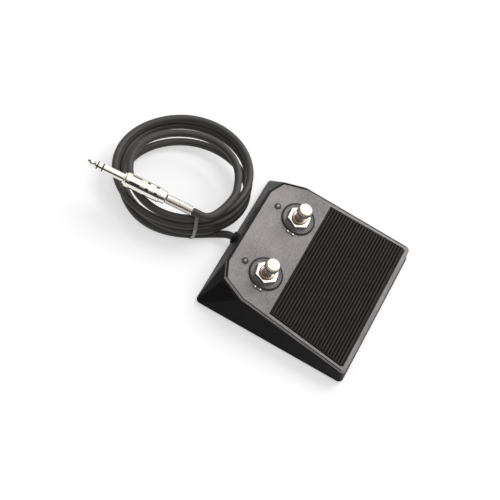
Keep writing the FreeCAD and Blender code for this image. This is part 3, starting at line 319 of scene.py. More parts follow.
def line_curve(name, points, radius, resolution, bevel):
    """A round wire or cord along a smooth NURBS curve through points in millimetres."""
    data = bpy.data.curves.new(name, "CURVE")
    data.dimensions = "3D"
    spline = data.splines.new("NURBS")
    spline.points.add(len(points) - 1)
    for target, point in zip(spline.points, points):
        target.co = (*(point * MM), 1.0)
    spline.order_u = 3
    spline.use_endpoint_u = True
    spline.resolution_u = resolution
    data.bevel_depth = radius * MM
    data.bevel_resolution = bevel
    data.use_fill_caps = True
    piece = bpy.data.objects.new(name, data)
    bpy.context.scene.collection.objects.link(piece)
    return piece


def helix(matrix, radius, start, pitch, turns, steps):
    """Points of a helix about a frame's Z, in millimetres, with a number of steps in each turn."""
    points = []
    for i in range(int(turns * steps) + 1):
        angle = 2 * math.pi * i / steps
        point = Vector((radius * math.cos(angle), radius * math.sin(angle), start + pitch * i / steps))
        points.append(matrix @ (point * MM) / MM)
    return points


# Finishes

def add(tree, kind, inputs, **settings):
    """Add a shader node with settings; its inputs are values or sockets, by name or number."""
    node = tree.nodes.new("ShaderNode" + kind)
    for key, value in settings.items():
        setattr(node, key, value)
    for label, value in inputs.items():
        if isinstance(value, NodeSocket):
            tree.links.new(value, node.inputs[label])
        else:
            node.inputs[label].default_value = value
    return node.outputs


def noise(tree, vector, scale, detail):
    """The value of a noise texture."""
    inputs = {"Vector": vector, "Scale": scale, "Detail": detail, "Roughness": 0.55}
    return add(tree, "TexNoise", inputs)["Fac"]


def spread(tree, value, low, high, to_low=0.0, to_high=1.0, **settings):
    """Map a value's range to another."""
    inputs = {"Value": value, "From Min": low, "From Max": high, "To Min": to_low, "To Max": to_high}
    return add(tree, "MapRange", inputs, **settings)["Result"]


def maths(tree, operation, *values):
    """The result of a maths node."""
    return add(tree, "Math", dict(enumerate(values)), operation=operation)["Value"]


def mixed(tree, mask, *colours):
    """Two colours, or sockets that give them, mixed by a mask."""
    first, second = [end if isinstance(end, NodeSocket) else (*end, 1.0) for end in colours]
    return add(tree, "Mix", {"Factor": mask, 6: first, 7: second}, data_type="RGBA")[2]


def new_group(name, inputs, outputs):
    """A shader node group that takes a vector and numbers and gives numbers."""
    group = bpy.data.node_groups.new(name, "ShaderNodeTree")
    group.interface.new_socket("Vector", in_out="INPUT", socket_type="NodeSocketVector")
    for label, value in inputs.items():
        socket = group.interface.new_socket(label, in_out="INPUT", socket_type="NodeSocketFloat")
        socket.default_value = value
    for label in outputs:
        group.interface.new_socket(label, in_out="OUTPUT", socket_type="NodeSocketFloat")
    return group, group.nodes.new("NodeGroupInput").outputs, group.nodes.new("NodeGroupOutput").inputs


def grain_group():
    """Fine surface grain: a height for bump and a soft mask for colour."""
    inputs = {"Grain Scale": 900.0, "Cloud Scale": 40.0}
    group, given, result = new_group("surface_grain", inputs, ("Height", "Mask"))
    fine = noise(group, given["Vector"], given["Grain Scale"], 3.0)
    cloud = noise(group, given["Vector"], given["Cloud Scale"], 5.0)
    both = maths(group, "MULTIPLY_ADD", fine, 0.7, cloud)
    group.links.new(fine, result["Height"])
    group.links.new(spread(group, both, 0.6, 1.1), result["Mask"])


def smudge_group():
    """Handled-surface roughness: broad smudges between two values, with fine scratches."""
    inputs = {"Scale": 60.0, "Least": 0.3, "Most": 0.5, "Scratches": 0.1}
    group, given, result = new_group("smudged_roughness", inputs, ("Roughness",))
    broad = noise(group, given["Vector"], given["Scale"], 4.0)
    base = spread(group, broad, 0.3, 0.7, given["Least"], given["Most"])
    stretched = add(group, "Mapping", {"Vector": given["Vector"], "Scale": (1.0, 0.06, 1.0),
                                       "Rotation": (0.2, 0.1, 0.6)})["Vector"]
    lines = spread(group, noise(group, stretched, 2600.0, 2.0), 0.62, 0.72)
    marks = maths(group, "MULTIPLY_ADD", lines, given["Scratches"], base)
    group.links.new(marks, result["Roughness"])


def dust_group():
    """Pale dust that gathers in soft patches, as a mask of a given strength."""
    group, given, result = new_group("settled_dust", {"Amount": 0.1}, ("Mask",))
    specks = spread(group, noise(group, given["Vector"], 1400.0, 2.0), 0.58, 0.75)
    patches = spread(group, noise(group, given["Vector"], 25.0, 3.0), 0.4, 0.7, 0.2, 1.0)
    both = maths(group, "MULTIPLY", specks, patches)
    group.links.new(maths(group, "MULTIPLY", both, given["Amount"]), result["Mask"])


def shared(tree, vector, name, **values):
    """A shared group in a material, with its own values."""
    inputs = {label.replace("_", " ").title(): value for label, value in values.items()}
    return add(tree, "Group", {"Vector": vector, **inputs}, node_tree=bpy.data.node_groups[name])


def finish(name, colour, shade=0.8, grain=900, cloud=40, bump=0.1, depth=0.05, rough=(0.4, 0.55),
           smudge=60, scratches=0.0, dust=0.0, dust_colour=(0.42, 0.40, 0.38), **shader):
    """Make a material: colour that varies with its grain, smudged roughness, dust and bump."""
    material = bpy.data.materials.new("finish_" + name)
    material.use_nodes = True
    tree = material.node_tree
    principled = tree.nodes["Principled BSDF"].inputs
    for label, value in shader.items():
        principled[label.replace("_", " ").title().replace("Ior", "IOR")].default_value = value
    vector = add(tree, "TexCoord", {})["Object"]
    surface = shared(tree, vector, "surface_grain", grain_scale=grain, cloud_scale=cloud)
    tint = mixed(tree, surface["Mask"], [shade * c for c in colour], colour)
    if dust:
        tint = mixed(tree, shared(tree, vector, "settled_dust", amount=dust)["Mask"], tint, dust_colour)
    worn = shared(tree, vector, "smudged_roughness", scale=smudge, least=rough[0], most=rough[1],
                  scratches=scratches)
    raised = add(tree, "Bump", {"Strength": bump, "Distance": depth * MM, "Height": surface["Height"]})
    for label, socket in (("Base Color", tint), ("Roughness", worn["Roughness"]),
                          ("Normal", raised["Normal"])):
        tree.links.new(socket, principled[label])


def darken_below(name, low, high, dark):
    """Darken a finish and dull it below a height out of the panel, softly between two heights."""
    tree = bpy.data.materials["finish_" + name].node_tree
    principled = tree.nodes["Principled BSDF"].inputs
    inverse = PANEL.inverted()
    flat = add(tree, "Mapping", {"Vector": add(tree, "TexCoord", {})["Object"],
                                 "Location": inverse.translation, "Rotation": inverse.to_euler()})
    height = add(tree, "SeparateXYZ", {0: flat["Vector"]})["Z"]
    top = spread(tree, height, low * MM, high * MM)
    bright, worn = (principled[label].links[0].from_socket for label in ("Base Color", "Roughness"))
    tree.links.new(mixed(tree, top, dark, bright), principled["Base Color"])
    tree.links.new(spread(tree, top, 0.0, 1.0, 0.95, worn), principled["Roughness"])


def make_finishes(colours):
    """Make every finish of the object, named after its slot."""
    grain_group()
    smudge_group()
    dust_group()
    for name in ("grey_paint", "nose_paint"):
        finish(name, colours.cover_grey, 0.42, 700, 26, 0.5, 0.09, (0.42, 0.56), 35, 0.06, dust=0.14,
               dust_colour=(0.5, 0.47, 0.46), specular_ior_level=0.4)
    darken_below("grey_paint", -1.25, -0.85, colours.wall_black)
    finish("black_paint", colours.wall_black, 0.6, 450, 60, 0.6, 0.15, (0.40, 0.50), 45, 0.05,
           dust=0.03, specular_ior_level=0.10)
    finish("mat_rubber", colours.mat_rubber, 0.9, 1500, 90, 0.4, 0.06, (0.5, 0.65), 120, dust=0.12,
           specular_ior_level=0.2)
    # The grooves between the ribs are darkened towards black by their height: painted shade in the
    # grooves.
    darken_below("mat_rubber", 0.1, 0.6, (0.004, 0.003, 0.003))
    finish("black_rubber", (0.016, 0.015, 0.015), 0.7, 1200, 80, 0.4, 0.06, (0.55, 0.7), dust=0.05,
           specular_ior_level=0.4)
    finish("zinc_steel", (0.60, 0.60, 0.57), 0.8, 500, 90, 0.1, 0.03, (0.28, 0.42), 80, 0.12,
           metallic=1.0)
    finish("spring_steel", colours.nickel, 0.9, 700, 90, 0.06, 0.02, (0.14, 0.24), 100, 0.1,
           metallic=1.0)
    finish("washer_enamel", colours.washer_grey, 0.75, 900, 110, 0.25, 0.04, (0.24, 0.36), 90, 0.08,
           dust=0.06, specular_ior_level=0.6)
    finish("bright_nickel", colours.nickel, 0.93, 300, 90, 0.03, 0.02, (0.07, 0.16), 140, 0.08,
           metallic=1.0)
    finish("switch_nickel", colours.switch_metal, 0.7, 500, 90, 0.05, 0.02, (0.20, 0.34), 120, 0.1,
           metallic=1.0)
    finish("terminal_board", (0.20, 0.10, 0.045), 0.7, 700, 70, 0.2, 0.04, specular_ior_level=0.5)
    finish("lamp_resin", colours.lamp_pale, 0.9, 400, 200, 0.02, 0.02, (0.08, 0.14), 100,
           coat_weight=0.6, ior=1.5)
    finish("bezel_plastic", (0.018, 0.017, 0.017), 0.7, 900, 150, 0.2, 0.03, (0.28, 0.4),
           specular_ior_level=0.5)
    finish("board_laminate", (0.05, 0.17, 0.07), 0.8, 600, 80, 0.15, 0.03, (0.35, 0.5))
    finish("wire_insulation", (0.35, 0.05, 0.04), 0.8, 900, 90, 0.1, 0.02, (0.4, 0.5))
    finish("clamp_plastic", (0.03, 0.03, 0.03), 0.8, 900, 80, 0.2, 0.04, (0.4, 0.5))
    finish("cord_jacket", colours.cord_black, 0.75, 900, 50, 0.5, 0.08, (0.44, 0.54), 60, 0.05,
           dust=0.08, specular_ior_level=0.42)
    finish("tie_nylon", (0.40, 0.385, 0.37), 0.8, 1200, 150, 0.15, 0.03, (0.22, 0.34),
           specular_ior_level=0.6)
    finish("plug_insulation", (0.02, 0.018, 0.016), 0.8, 800, 90, 0.1, 0.02, (0.25, 0.35))
    finish("plug_nickel", colours.nickel, 0.93, 300, 110, 0.03, 0.02, (0.10, 0.22), 150, 0.12,
           metallic=1.0)


def dress(piece, slot, *nodes, body="casing"):
    """Give a new piece its finish and its body, and hide the solids that it stands for."""
    piece.data.materials.clear()
    piece.data.materials.append(bpy.data.materials["finish_" + slot])
    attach(piece, body)
    if nodes:
        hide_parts(*nodes)


def dress_node(name, slot):
    """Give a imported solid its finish."""
    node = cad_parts[name]
    node.data.materials.clear()
    node.data.materials.append(bpy.data.materials["finish_" + slot])


# Settings

class FootswitchColours(PropertyGroup):
    """Colours of the finishes."""
    cover_grey: FloatVectorProperty(
        name="Cover grey", description="Paint of the top cover", subtype="COLOR",
        default=(0.458, 0.414, 0.414), min=0, max=1)
    wall_black: FloatVectorProperty(
        name="Wall black", description="Paint of the casing's walls", subtype="COLOR",
        default=(0.0066, 0.0058, 0.0058), min=0, max=1)
    mat_rubber: FloatVectorProperty(
        name="Mat rubber", description="Rubber of the tread mat", subtype="COLOR",
        default=(0.028, 0.022, 0.0215), min=0, max=1)
    washer_grey: FloatVectorProperty(
        name="Washer grey", description="Enamel of the round washers", subtype="COLOR",
        default=(0.075, 0.072, 0.068), min=0, max=1)
    nickel: FloatVectorProperty(
        name="Nickel", description="Bright plating of buttons, nuts and plug", subtype="COLOR",
        default=(0.88, 0.835, 0.775), min=0, max=1)
    switch_metal: FloatVectorProperty(
        name="Switch metal", description="Plating of shafts and bushings", subtype="COLOR",
        default=(0.42, 0.35, 0.29), min=0, max=1)
    lamp_pale: FloatVectorProperty(
        name="Lamp", description="Resin of the indicator lamps", subtype="COLOR",
        default=(0.62, 0.58, 0.55), min=0, max=1)
    cord_black: FloatVectorProperty(
        name="Cord", description="Jacket of the cord", subtype="COLOR",
        default=(0.066, 0.062, 0.058), min=0, max=1)


class FootswitchSizes(PropertyGroup):
    """Sizes that a user may change."""
    cord_diameter: FloatProperty(
        name="Cord diameter", description="Outside width of the cord", default=0.006, unit="LENGTH")
    points_per_turn: IntProperty(
        name="Points per turn", default=24, min=12,
        description="Control points in each turn of the coil")
    rib_pitch: FloatProperty(
        name="Rib pitch", description="Distance between the mat's ribs", default=0.0025,
        unit="LENGTH")
    rib_height: FloatProperty(
        name="Rib height", description="Height of the mat's ribs", default=0.0008, unit="LENGTH")
    spring_pitch: FloatProperty(
        name="Spring pitch", description="Rise of the plug spring in each turn", default=0.00092,
        unit="LENGTH")


class FootswitchStage(PropertyGroup):
    """Light and floor."""
    floor_colour: FloatVectorProperty(
        name="Floor", description="Pale studio floor", subtype="COLOR", default=(0.86, 0.86, 0.86),
        min=0, max=1)
    floor_size: FloatProperty(
        name="Floor size", description="Width of the floor", default=8.0, unit="LENGTH")
    key_power: FloatProperty(
        name="Key light", description="Power of the main lamp", default=7.5, unit="POWER")
    fill_power: FloatProperty(
        name="Fill light", description="Power of the lamp opposite it", default=0.8, unit="POWER")
    surround: FloatProperty(
        name="Surround", description="Strength of the light from all round", default=0.35, min=0)
    lens: FloatProperty(
        name="Lens", description="Focal length of the camera in millimetres", default=109.4, min=1)


# Casing

class FOOTSWITCH_OT_casing(Operator):
    """Paint the casing's own solids"""
    bl_idname = "footswitch.casing"
    bl_label = "Casing"

    def execute(self, context):
        dress_node("top_cover", "grey_paint")
        dress_node("body_shell", "black_paint")
        dress_node("base_plate", "black_paint")
        return {"FINISHED"}


def outline_slab(name, inset, rear_inset, low, high):
    """A slab with the panel's outline, drawn in by one inset, and by another along its rear."""
    slab = box(name, (BLANK_WIDTH, BLANK_DEPTH, high - low), (0, BLANK_MIDDLE, (low + high) / 2))
    ends = PANEL_OUTLINE[1:] + PANEL_OUTLINE[:1]
    for i, ((ax, ay), (bx, by)) in enumerate(zip(PANEL_OUTLINE, ends)):
        outward = Vector((by - ay, ax - bx, 0)).normalized()
        drawn_in = rear_inset if i in PANEL_REAR_SIDES else inset
        trim(slab, Vector((ax, ay, 0)) - outward * drawn_in, outward)
    return slab


class FOOTSWITCH_OT_edges(Operator):
    """Model the dark seam inside the panel's edge and the rolled front nose"""
    bl_idname = "footswitch.edges"
    bl_label = "Seam and nose"

    def execute(self, context):
        seam = outline_slab("panel_seam", SEAM_FROM_EDGE, SEAM_FROM_REAR, SEAM_BOTTOM, SEAM_TOP)
        cut(seam, outline_slab("seam_inside", SEAM_FROM_EDGE + SEAM_WIDTH,
                               SEAM_FROM_REAR + SEAM_REAR_WIDTH, SEAM_CUT_BOTTOM, SEAM_CUT_TOP))
        trim(seam, (0, SEAM_START, 0), (0, -1, 0))
        dress(place(seam, PANEL), "black_paint")
        nose = box("front_nose", (NOSE_WIDTH, NOSE_REACH + NOSE_BACK, NOSE_TOP + NOSE_DROP),
                   (0, (NOSE_BACK - NOSE_REACH) / 2, (NOSE_TOP - NOSE_DROP) / 2))
        for sign in SIDES.values():
            edit(nose, lambda vertex: vertex.co.y < 0 and sign * vertex.co.x > 0)
            bpy.ops.mesh.bevel(offset=NOSE_CORNER * MM, segments=8)
        edit(nose, lambda vertex: vertex.co.z > 0)
        bpy.ops.mesh.bevel(offset=NOSE_ROUND * MM, segments=8)
        edit(nose, lambda vertex: vertex.co.z < (0.01 - NOSE_DROP) * MM)
        bpy.ops.mesh.bevel(offset=NOSE_FOOT * MM, segments=4)
        deselect()
        trim(nose, (0, MAT_START - 0.05, 0), (0, 1, 0))
        for sign in SIDES.values():
            wedge = box("wedge", NOSE_CUT_SIZE, (0, 0, -NOSE_CUT_SIZE[2] / 2))
            slant = Matrix.Rotation(-sign * NOSE_END_SLOPE, 4, "Y")
            cut(nose, place(wedge, shift(sign * NOSE_END_X, 0, NOSE_END_Z) @ slant))
        smooth(nose, 30)
        dress(place(nose, PANEL), "nose_paint")
        return {"FINISHED"}


class FOOTSWITCH_OT_inside(Operator):
    """Finish the parts inside the casing"""
    bl_idname = "footswitch.inside"
    bl_label = "Inside"

    def execute(self, context):
        dress_node("circuit_board", "board_laminate")
        dress_node("cord_clamp", "clamp_plastic")
        for number in "123":
            dress_node("cord_wire_" + number, "wire_insulation")
        for side in SIDES:
            dress_node("board_screw_" + side, "zinc_steel")
            dress_node("clamp_screw_" + side, "zinc_steel")
            dress_node(side + "_lock_washer", "zinc_steel")
            dress_node(side + "_switch_body", "switch_nickel")
            dress_node(side + "_terminals", "terminal_board")
        return {"FINISHED"}


class FOOTSWITCH_OT_return_springs(Operator):
    """Wind the springs under the buttons, which shorten as the buttons go down"""
    bl_idname = "footswitch.return_springs"
    bl_label = "Return springs"

    def execute(self, context):
        start = RETURN_SPRING_BOTTOM + RETURN_SPRING_WIRE
        pitch = (RETURN_SPRING_TOP - RETURN_SPRING_WIRE - start) / RETURN_SPRING_TURNS
        for side, sign in SIDES.items():
            middle = PANEL @ shift(sign * SWITCH_X, SWITCH_Y, 0)
            points = helix(middle, RETURN_SPRING_RADIUS, start, pitch, RETURN_SPRING_TURNS,
                           RETURN_SPRING_STEPS)
            spring = line_curve(side + "_spring_coil", points, RETURN_SPRING_WIRE, resolution=2, bevel=2)
            pick(spring)
            bpy.ops.object.convert(target="MESH")
            dress(spring, "spring_steel", side + "_return_spring")
            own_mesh(spring)
        return {"FINISHED"}


def trim_to_mat(piece, inset):
    """Cut a piece to the mat's slanted sides, drawn in by an inset."""
    for sign in SIDES.values():
        side = Vector((sign * (MAT_END - MAT_START), MAT_HALF_FRONT - MAT_HALF_REAR, 0)).normalized()
        trim(piece, Vector((sign * MAT_HALF_FRONT, MAT_START, 0)) - side * inset, side)


class FOOTSWITCH_OT_tread_mat(Operator):
    """Model the ribbed rubber mat"""
    bl_idname = "footswitch.tread_mat"
    bl_label = "Tread mat"

    def execute(self, context):
        pitch = context.scene.footswitch_sizes.rib_pitch / MM
        height = context.scene.footswitch_sizes.rib_height / MM + RIB_SINK
        length = MAT_END - MAT_START
        web = box("tread_mat_web", (MAT_BLANK_WIDTH, length, MAT_WEB_TOP - MAT_FLOOR),
                  (0, (MAT_START + MAT_END) / 2, (MAT_WEB_TOP + MAT_FLOOR) / 2))
        trim_to_mat(web, 0.0)
        edit(web, lambda vertex: vertex.co.z > (MAT_WEB_TOP - 0.01) * MM)
        for thickness, depth in ((BORDER_OUTER, BORDER_RISE),
                                 (MAT_BORDER - BORDER_OUTER - BORDER_INNER, 0.0),
                                 (BORDER_INNER, -BORDER_RISE)):
            bpy.ops.mesh.inset(thickness=thickness * MM, depth=depth * MM)
        deselect()
        round_edges(web, 0.08, 2)
        smooth(web)
        rib_y = MAT_START + RIB_WIDTH / 2
        ribs = box("tread_mat_ribs", (MAT_BLANK_WIDTH, RIB_WIDTH, height),
                   (0, rib_y, MAT_WEB_TOP - RIB_SINK + height / 2))
        edit(ribs, lambda vertex: vertex.co.z > 0)
        bpy.ops.transform.resize(value=(1, RIB_TAPER, 1), center_override=(0, rib_y * MM, 0))
        deselect()
        round_edges(ribs, 0.26)
        apply_modifier(ribs, "ARRAY", count=int(length / pitch + 0.5), use_relative_offset=False,
                       use_constant_offset=True, constant_offset_displace=(0, pitch * MM, 0))
        trim_to_mat(ribs, MAT_BORDER)
        smooth(ribs, 50)
        lip = box("tread_mat_lip", (2 * (MAT_HALF_FRONT - LIP_INSET), LIP_WIDTH, LIP_HEIGHT),
                  (0, MAT_START + LIP_OVER_MAT - LIP_WIDTH / 2, LIP_LIFT + LIP_HEIGHT / 2))
        round_edges(lip, 0.3)
        smooth(lip)
        mat = join(ribs, web, lip)
        mat.name = "tread_mat_ribbed"
        dress(place(mat, PANEL), "mat_rubber", "tread_mat")
        return {"FINISHED"}


def at_corners(piece, name, slot, node, places, height):
    """Copy a piece to its places under the casing's four corners and dress the copies."""
    for side, sign in SIDES.items():
        for end, (x, y) in places.items():
            corner = "_%s_%s" % (end, side)
            copy = copy_of(piece, name + corner)
            dress(place(copy, shift(sign * x, y, height)), slot, node + corner)
    bpy.data.objects.remove(piece)


class FOOTSWITCH_OT_feet(Operator):
    """Model the four rubber feet"""
    bl_idname = "footswitch.feet"
    bl_label = "Feet"

    def execute(self, context):
        foot = turned("foot", [
            (0, 0.6), (2.4, 0.6), (2.9, 0), (5.4, 0), (6.1, 0.25), (6.6, 1), (7, 3),
            (2.5, 3), (2.5, 4.5), (3.4, 4.5), (2.5, 6.5), (0, 6.5)], 48)
        round_edges(foot, 0.2, 2)
        smooth(foot)
        at_corners(foot, "rubber_foot", "black_rubber", "foot", FOOT_PLACES, 0)
        return {"FINISHED"}


class FOOTSWITCH_OT_case_screws(Operator):
    """Model the four cross-headed screws that close the casing"""
    bl_idname = "footswitch.case_screws"
    bl_label = "Case screws"

    def execute(self, context):
        screw = turned("screw", [
            (0, -1.6), (1.4, -1.55), (2.2, -1.25), (2.65, -0.7), (2.8, -0.25), (2.8, 0),
            (1.5, 0), (1.5, 8.4), (1.1, 9), (0, 9)], 40)
        for x, y in ((CROSS_LENGTH, CROSS_WIDTH), (CROSS_WIDTH, CROSS_LENGTH)):
            cut(screw, box("slot", (x, y, CROSS_DEPTH), (0, 0, CROSS_MIDDLE)))
        smooth(screw, 30)
        at_corners(screw, "cross_screw", "zinc_steel", "case_screw", SCREW_PLACES, SCREW_SEAT)
        return {"FINISHED"}


# Footswitches and lamps

def on_both_sides(piece, name, slot, node=None, y=SWITCH_Y, button=False, turns=None):
    """Copy a piece built about the panel's Z to both sides of the panel and dress it."""
    for side, sign in SIDES.items():
        copy = copy_of(piece, side + "_" + name)
        turn = math.radians(turns[side]) if turns else 0.0
        place(copy, PANEL @ shift(sign * SWITCH_X, y, 0) @ Matrix.Rotation(turn, 4, "Z"))
        nodes = [side + "_" + node] if node else []
        dress(copy, slot, *nodes, body=side + "_button" if button else "casing")
    bpy.data.objects.remove(piece)


class FOOTSWITCH_OT_washers(Operator):
    """Model the dished round washers with their locating tabs"""
    bl_idname = "footswitch.washers"
    bl_label = "Washers"

    def execute(self, context):
        # The raised ring round each washer's edge is black to stand for the shadow gap there: painted
        # shade.
        rim = turned("rim", [
            (12.3, 0), (13.3, 0), (13.62, 0.12), (13.7, 0.4), (13.7, 0.8), (13.5, 1.05),
            (13.1, 1.15), (12.7, 1.1), (12.4, 0.9), (12.3, 0.6), (12.3, 0)], 96, 40)
        on_both_sides(rim, "washer_rim", "black_rubber", "dress_washer")
        ring = turned("washer", [
            (6.15, 0), (12.28, 0), (12.28, 0.88), (12, 0.95), (11.6, 0.9), (10.6, 0.6),
            (9.9, 0.55), (9.6, 0.7), (9.3, 0.95), (6.15, 0.95), (6.15, 0)], 96, 40)
        tab = box("tab", TAB_SIZE, (TAB_AT, 0, TAB_SIZE[2] / 2))
        round_edges(tab, 0.3)
        smooth(tab)
        on_both_sides(join(ring, tab), "round_washer", "washer_enamel", "dress_washer")
        rivets = []
        for sign in SIDES.values():
            rivet = turned("rivet", [
                (0, 0.3), (0.85, 0.3), (0.85, 0.75), (0.7, 1), (0.4, 1.15), (0, 1.2)], 24, 35)
            rivets.append(place(rivet, shift(TAB_RIVET_AT, sign * TAB_RIVET_APART, 0)))
        on_both_sides(join(*rivets), "tab_rivets", "bright_nickel")
        return {"FINISHED"}


class FOOTSWITCH_OT_nuts(Operator):
    """Model the hexagon nuts and the threaded bushing ends"""
    bl_idname = "footswitch.nuts"
    bl_label = "Nuts and bushings"

    def execute(self, context):
        turn = math.radians(30)
        deselect()
        bpy.ops.mesh.primitive_cylinder_add(
            vertices=6, radius=NUT_ACROSS / 2 / math.cos(turn) * MM, depth=NUT_HEIGHT * MM,
            location=(0, 0, NUT_MIDDLE * MM), rotation=(0, 0, turn))
        nut = apply_place(named("nut"))
        cut(nut, turned("dome", [(0, 0.9), (9, 0.9), (9.6, 1.25), (9.6, 3.2), (7.9, 3.85), (0, 3.85)],
                        96), "INTERSECT")
        cut(nut, turned("bore", [(0, -1), (6, -1), (6, 3.2), (6.7, 3.9), (6.7, 6), (0, 6)]))
        round_edges(nut, 0.12, 2, 25)
        smooth(nut, 25)
        on_both_sides(nut, "hexagon_nut", "bright_nickel", "panel_nut", turns=NUT_TURNS)
        rings = [(4.1, THREAD_START)]
        height = THREAD_START
        while height < THREAD_END:
            rings += [(5.7, height), (6, height + 0.2), (6, height + 0.35), (5.7, height + 0.55)]
            height += THREAD_PITCH
        rings += [(5.85, 4.2), (5.85, 4.45), (5.6, 4.65), (4.5, 4.65), (4.1, 4.35), (4.1, THREAD_START)]
        on_both_sides(turned("bushing", rings, soft=40), "threaded_bushing", "switch_nickel")
        return {"FINISHED"}


class FOOTSWITCH_OT_buttons(Operator):
    """Model the push buttons: a grooved shaft with a domed cap"""
    bl_idname = "footswitch.buttons"
    bl_label = "Buttons"

    def execute(self, context):
        rings = [(0, -6.5), (5.6, -6.5), (5.8, -6.3), (5.8, -5.3), (5.6, -5.1), (SHAFT_RADIUS, -5.1)]
        for groove in SHAFT_GROOVES:
            rings += [(SHAFT_RADIUS, groove), (3.8, groove + 0.15), (3.8, groove + 0.55),
                      (SHAFT_RADIUS, groove + 0.7)]
        rings += [(SHAFT_RADIUS, SHAFT_END), (0, SHAFT_END)]
        on_both_sides(turned("shaft", rings, soft=40), "button_shaft", "switch_nickel", "plunger",
                      button=True)
        rings = [(0, SHAFT_END), (SHAFT_RADIUS, SHAFT_END), (SHAFT_RADIUS, CAP_BOTTOM + 0.2),
                 (4.3, CAP_BOTTOM), (5.45, CAP_BOTTOM), (5.75, CAP_BOTTOM + 0.12),
                 (CAP_RADIUS, CAP_BOTTOM + 0.45)]
        inner = CAP_RADIUS - CAP_SHOULDER
        sphere = (inner ** 2 + CAP_DOME ** 2) / (2 * CAP_DOME)
        whole = math.asin(inner / sphere)
        low = CAP_TOP - CAP_DOME - CAP_SHOULDER * math.cos(whole)
        for i in range(SHOULDER_STEPS + 1):
            angle = math.radians(90) + (whole - math.radians(90)) * i / SHOULDER_STEPS
            rings.append((inner - CAP_SHOULDER * (math.sin(whole) - math.sin(angle)),
                          low + CAP_SHOULDER * math.cos(angle)))
        for i in range(DOME_STEPS - 1, 0, -1):
            angle = whole * i / DOME_STEPS
            rings.append((sphere * math.sin(angle), CAP_TOP - sphere * (1 - math.cos(angle))))
        cap = turned("cap", rings + [(0, CAP_TOP)], 72, 50)
        on_both_sides(cap, "domed_cap", "bright_nickel", "button_cap", button=True)
        return {"FINISHED"}


class FOOTSWITCH_OT_lamps(Operator):
    """Model the indicator lamps and the rings round them"""
    bl_idname = "footswitch.lamps"
    bl_label = "Lamps"

    def execute(self, context):
        lens = turned("lens", [
            (0, -3.8), (1.9, -3.8), (1.9, -2.8), (1.45, -2.8), (1.45, -0.25), (1.28, 0.1),
            (1.27, 0.6), (1.17, 1), (0.95, 1.3), (0.6, 1.5), (0.25, 1.58), (0, 1.6)], 48, 50)
        legs = [box("leg", LAMP_LEG_SIZE, (sign * LAMP_LEG_APART, 0, LAMP_LEG_MIDDLE))
                for sign in SIDES.values()]
        on_both_sides(join(lens, *legs), "lamp_lens", "lamp_resin", "lamp", LAMP_Y)
        ring = turned("bezel", [
            (1.5, -2.8), (2.2, -2.8), (2.2, 0), (2.62, 0), (2.7, 0.12), (2.68, 0.42),
            (2.5, 0.75), (2.2, 0.9), (1.85, 0.82), (1.5, 0.6), (1.34, 0.35), (1.3, 0.1),
            (1.5, -0.2), (1.5, -2.8)], 56, 50)
        on_both_sides(ring, "lamp_ring", "bezel_plastic", "lamp_bezel", LAMP_Y)
        return {"FINISHED"}


# Cord

def coil_nudge(turn):
    """How far a strand lies outside the even coil after a number of turns."""
    return sum(amount * math.cos(math.pi * (turn - middle) / (2 * reach)) ** 2
               for middle, reach, amount in COIL_NUDGES if abs(turn - middle) < reach)


def coil_point(turn):
    """The coil's centre line after a number of turns."""
    angle = 2 * math.pi * turn + COIL_PHASE
    rx, ry = (COIL_RADII[i] + COIL_GROWTH[i] * turn + COIL_GROWTH_CHANGE[i] * turn ** 2
              + coil_nudge(turn) for i in (0, 1))
    x, y = (COIL_CENTRE[i] + COIL_DRIFT[i] * turn + COIL_DRIFT_CHANGE[i] * turn ** 2 for i in (0, 1))
    u = -rx * math.cos(angle)
    v = ry * math.sin(angle)
    wave = math.sin(2 * math.pi * (turn - COIL_CLIMB_PHASE)) + math.sin(2 * math.pi * COIL_CLIMB_PHASE)
    z = COIL_FIRST_HEIGHT + COIL_CLIMB * (turn + wave / (2 * math.pi))
    return Vector((x + u * math.cos(COIL_TWIST) - v * math.sin(COIL_TWIST),
                   y + u * math.sin(COIL_TWIST) + v * math.cos(COIL_TWIST), z))


def coil_way(turn):
    """The direction of the coil's centre line."""
    return (coil_point(turn + TURN_STEP) - coil_point(turn - TURN_STEP)).normalized()


def cord_points(diameter, per_turn):
    """The cord's control points, from the clamp in the casing to the plug's collar."""
    start = coil_point(0) - coil_way(0) * diameter
    points = [CORD_INNER_END, (CORD_INNER_END + CORD_EXIT) / 2, CORD_EXIT, *LEAD_POINTS]
    points += [start - coil_way(0) * LEAD_STRAIGHT_END, start]
    count = int(COIL_END * per_turn)
    points += [coil_point(COIL_END * i / count) for i in range(count + 1)]
    last, last_way = coil_point(COIL_END), coil_way(COIL_END)
    span = PLUG_REAR - last
    ways = last_way + PLUG_WAY
    k = 2 * (1 - last_way.dot(PLUG_WAY))
    reach = (-span.dot(ways) + math.sqrt(span.dot(ways) ** 2 + k * span.dot(span))) / k
    points += [last + last_way * reach, PLUG_REAR - PLUG_WAY * reach]
    points += [PLUG_REAR + PLUG_WAY * SPRING_LENGTH * share for share in (0, 0.35, 0.7, 1)]
    return points


class FOOTSWITCH_OT_cord(Operator):
    """Lay the cord: its lead, its coil and its end in the plug"""
    bl_idname = "footswitch.cord"
    bl_label = "Cord"

    def execute(self, context):
        sizes = context.scene.footswitch_sizes
        diameter = sizes.cord_diameter / MM
        points = cord_points(diameter, sizes.points_per_turn)
        cord = line_curve("jacketed_cord", points, diameter / 2, resolution=6, bevel=7)
        dress(cord, "cord_jacket", "cord_lead", "cord_coil")
        return {"FINISHED"}


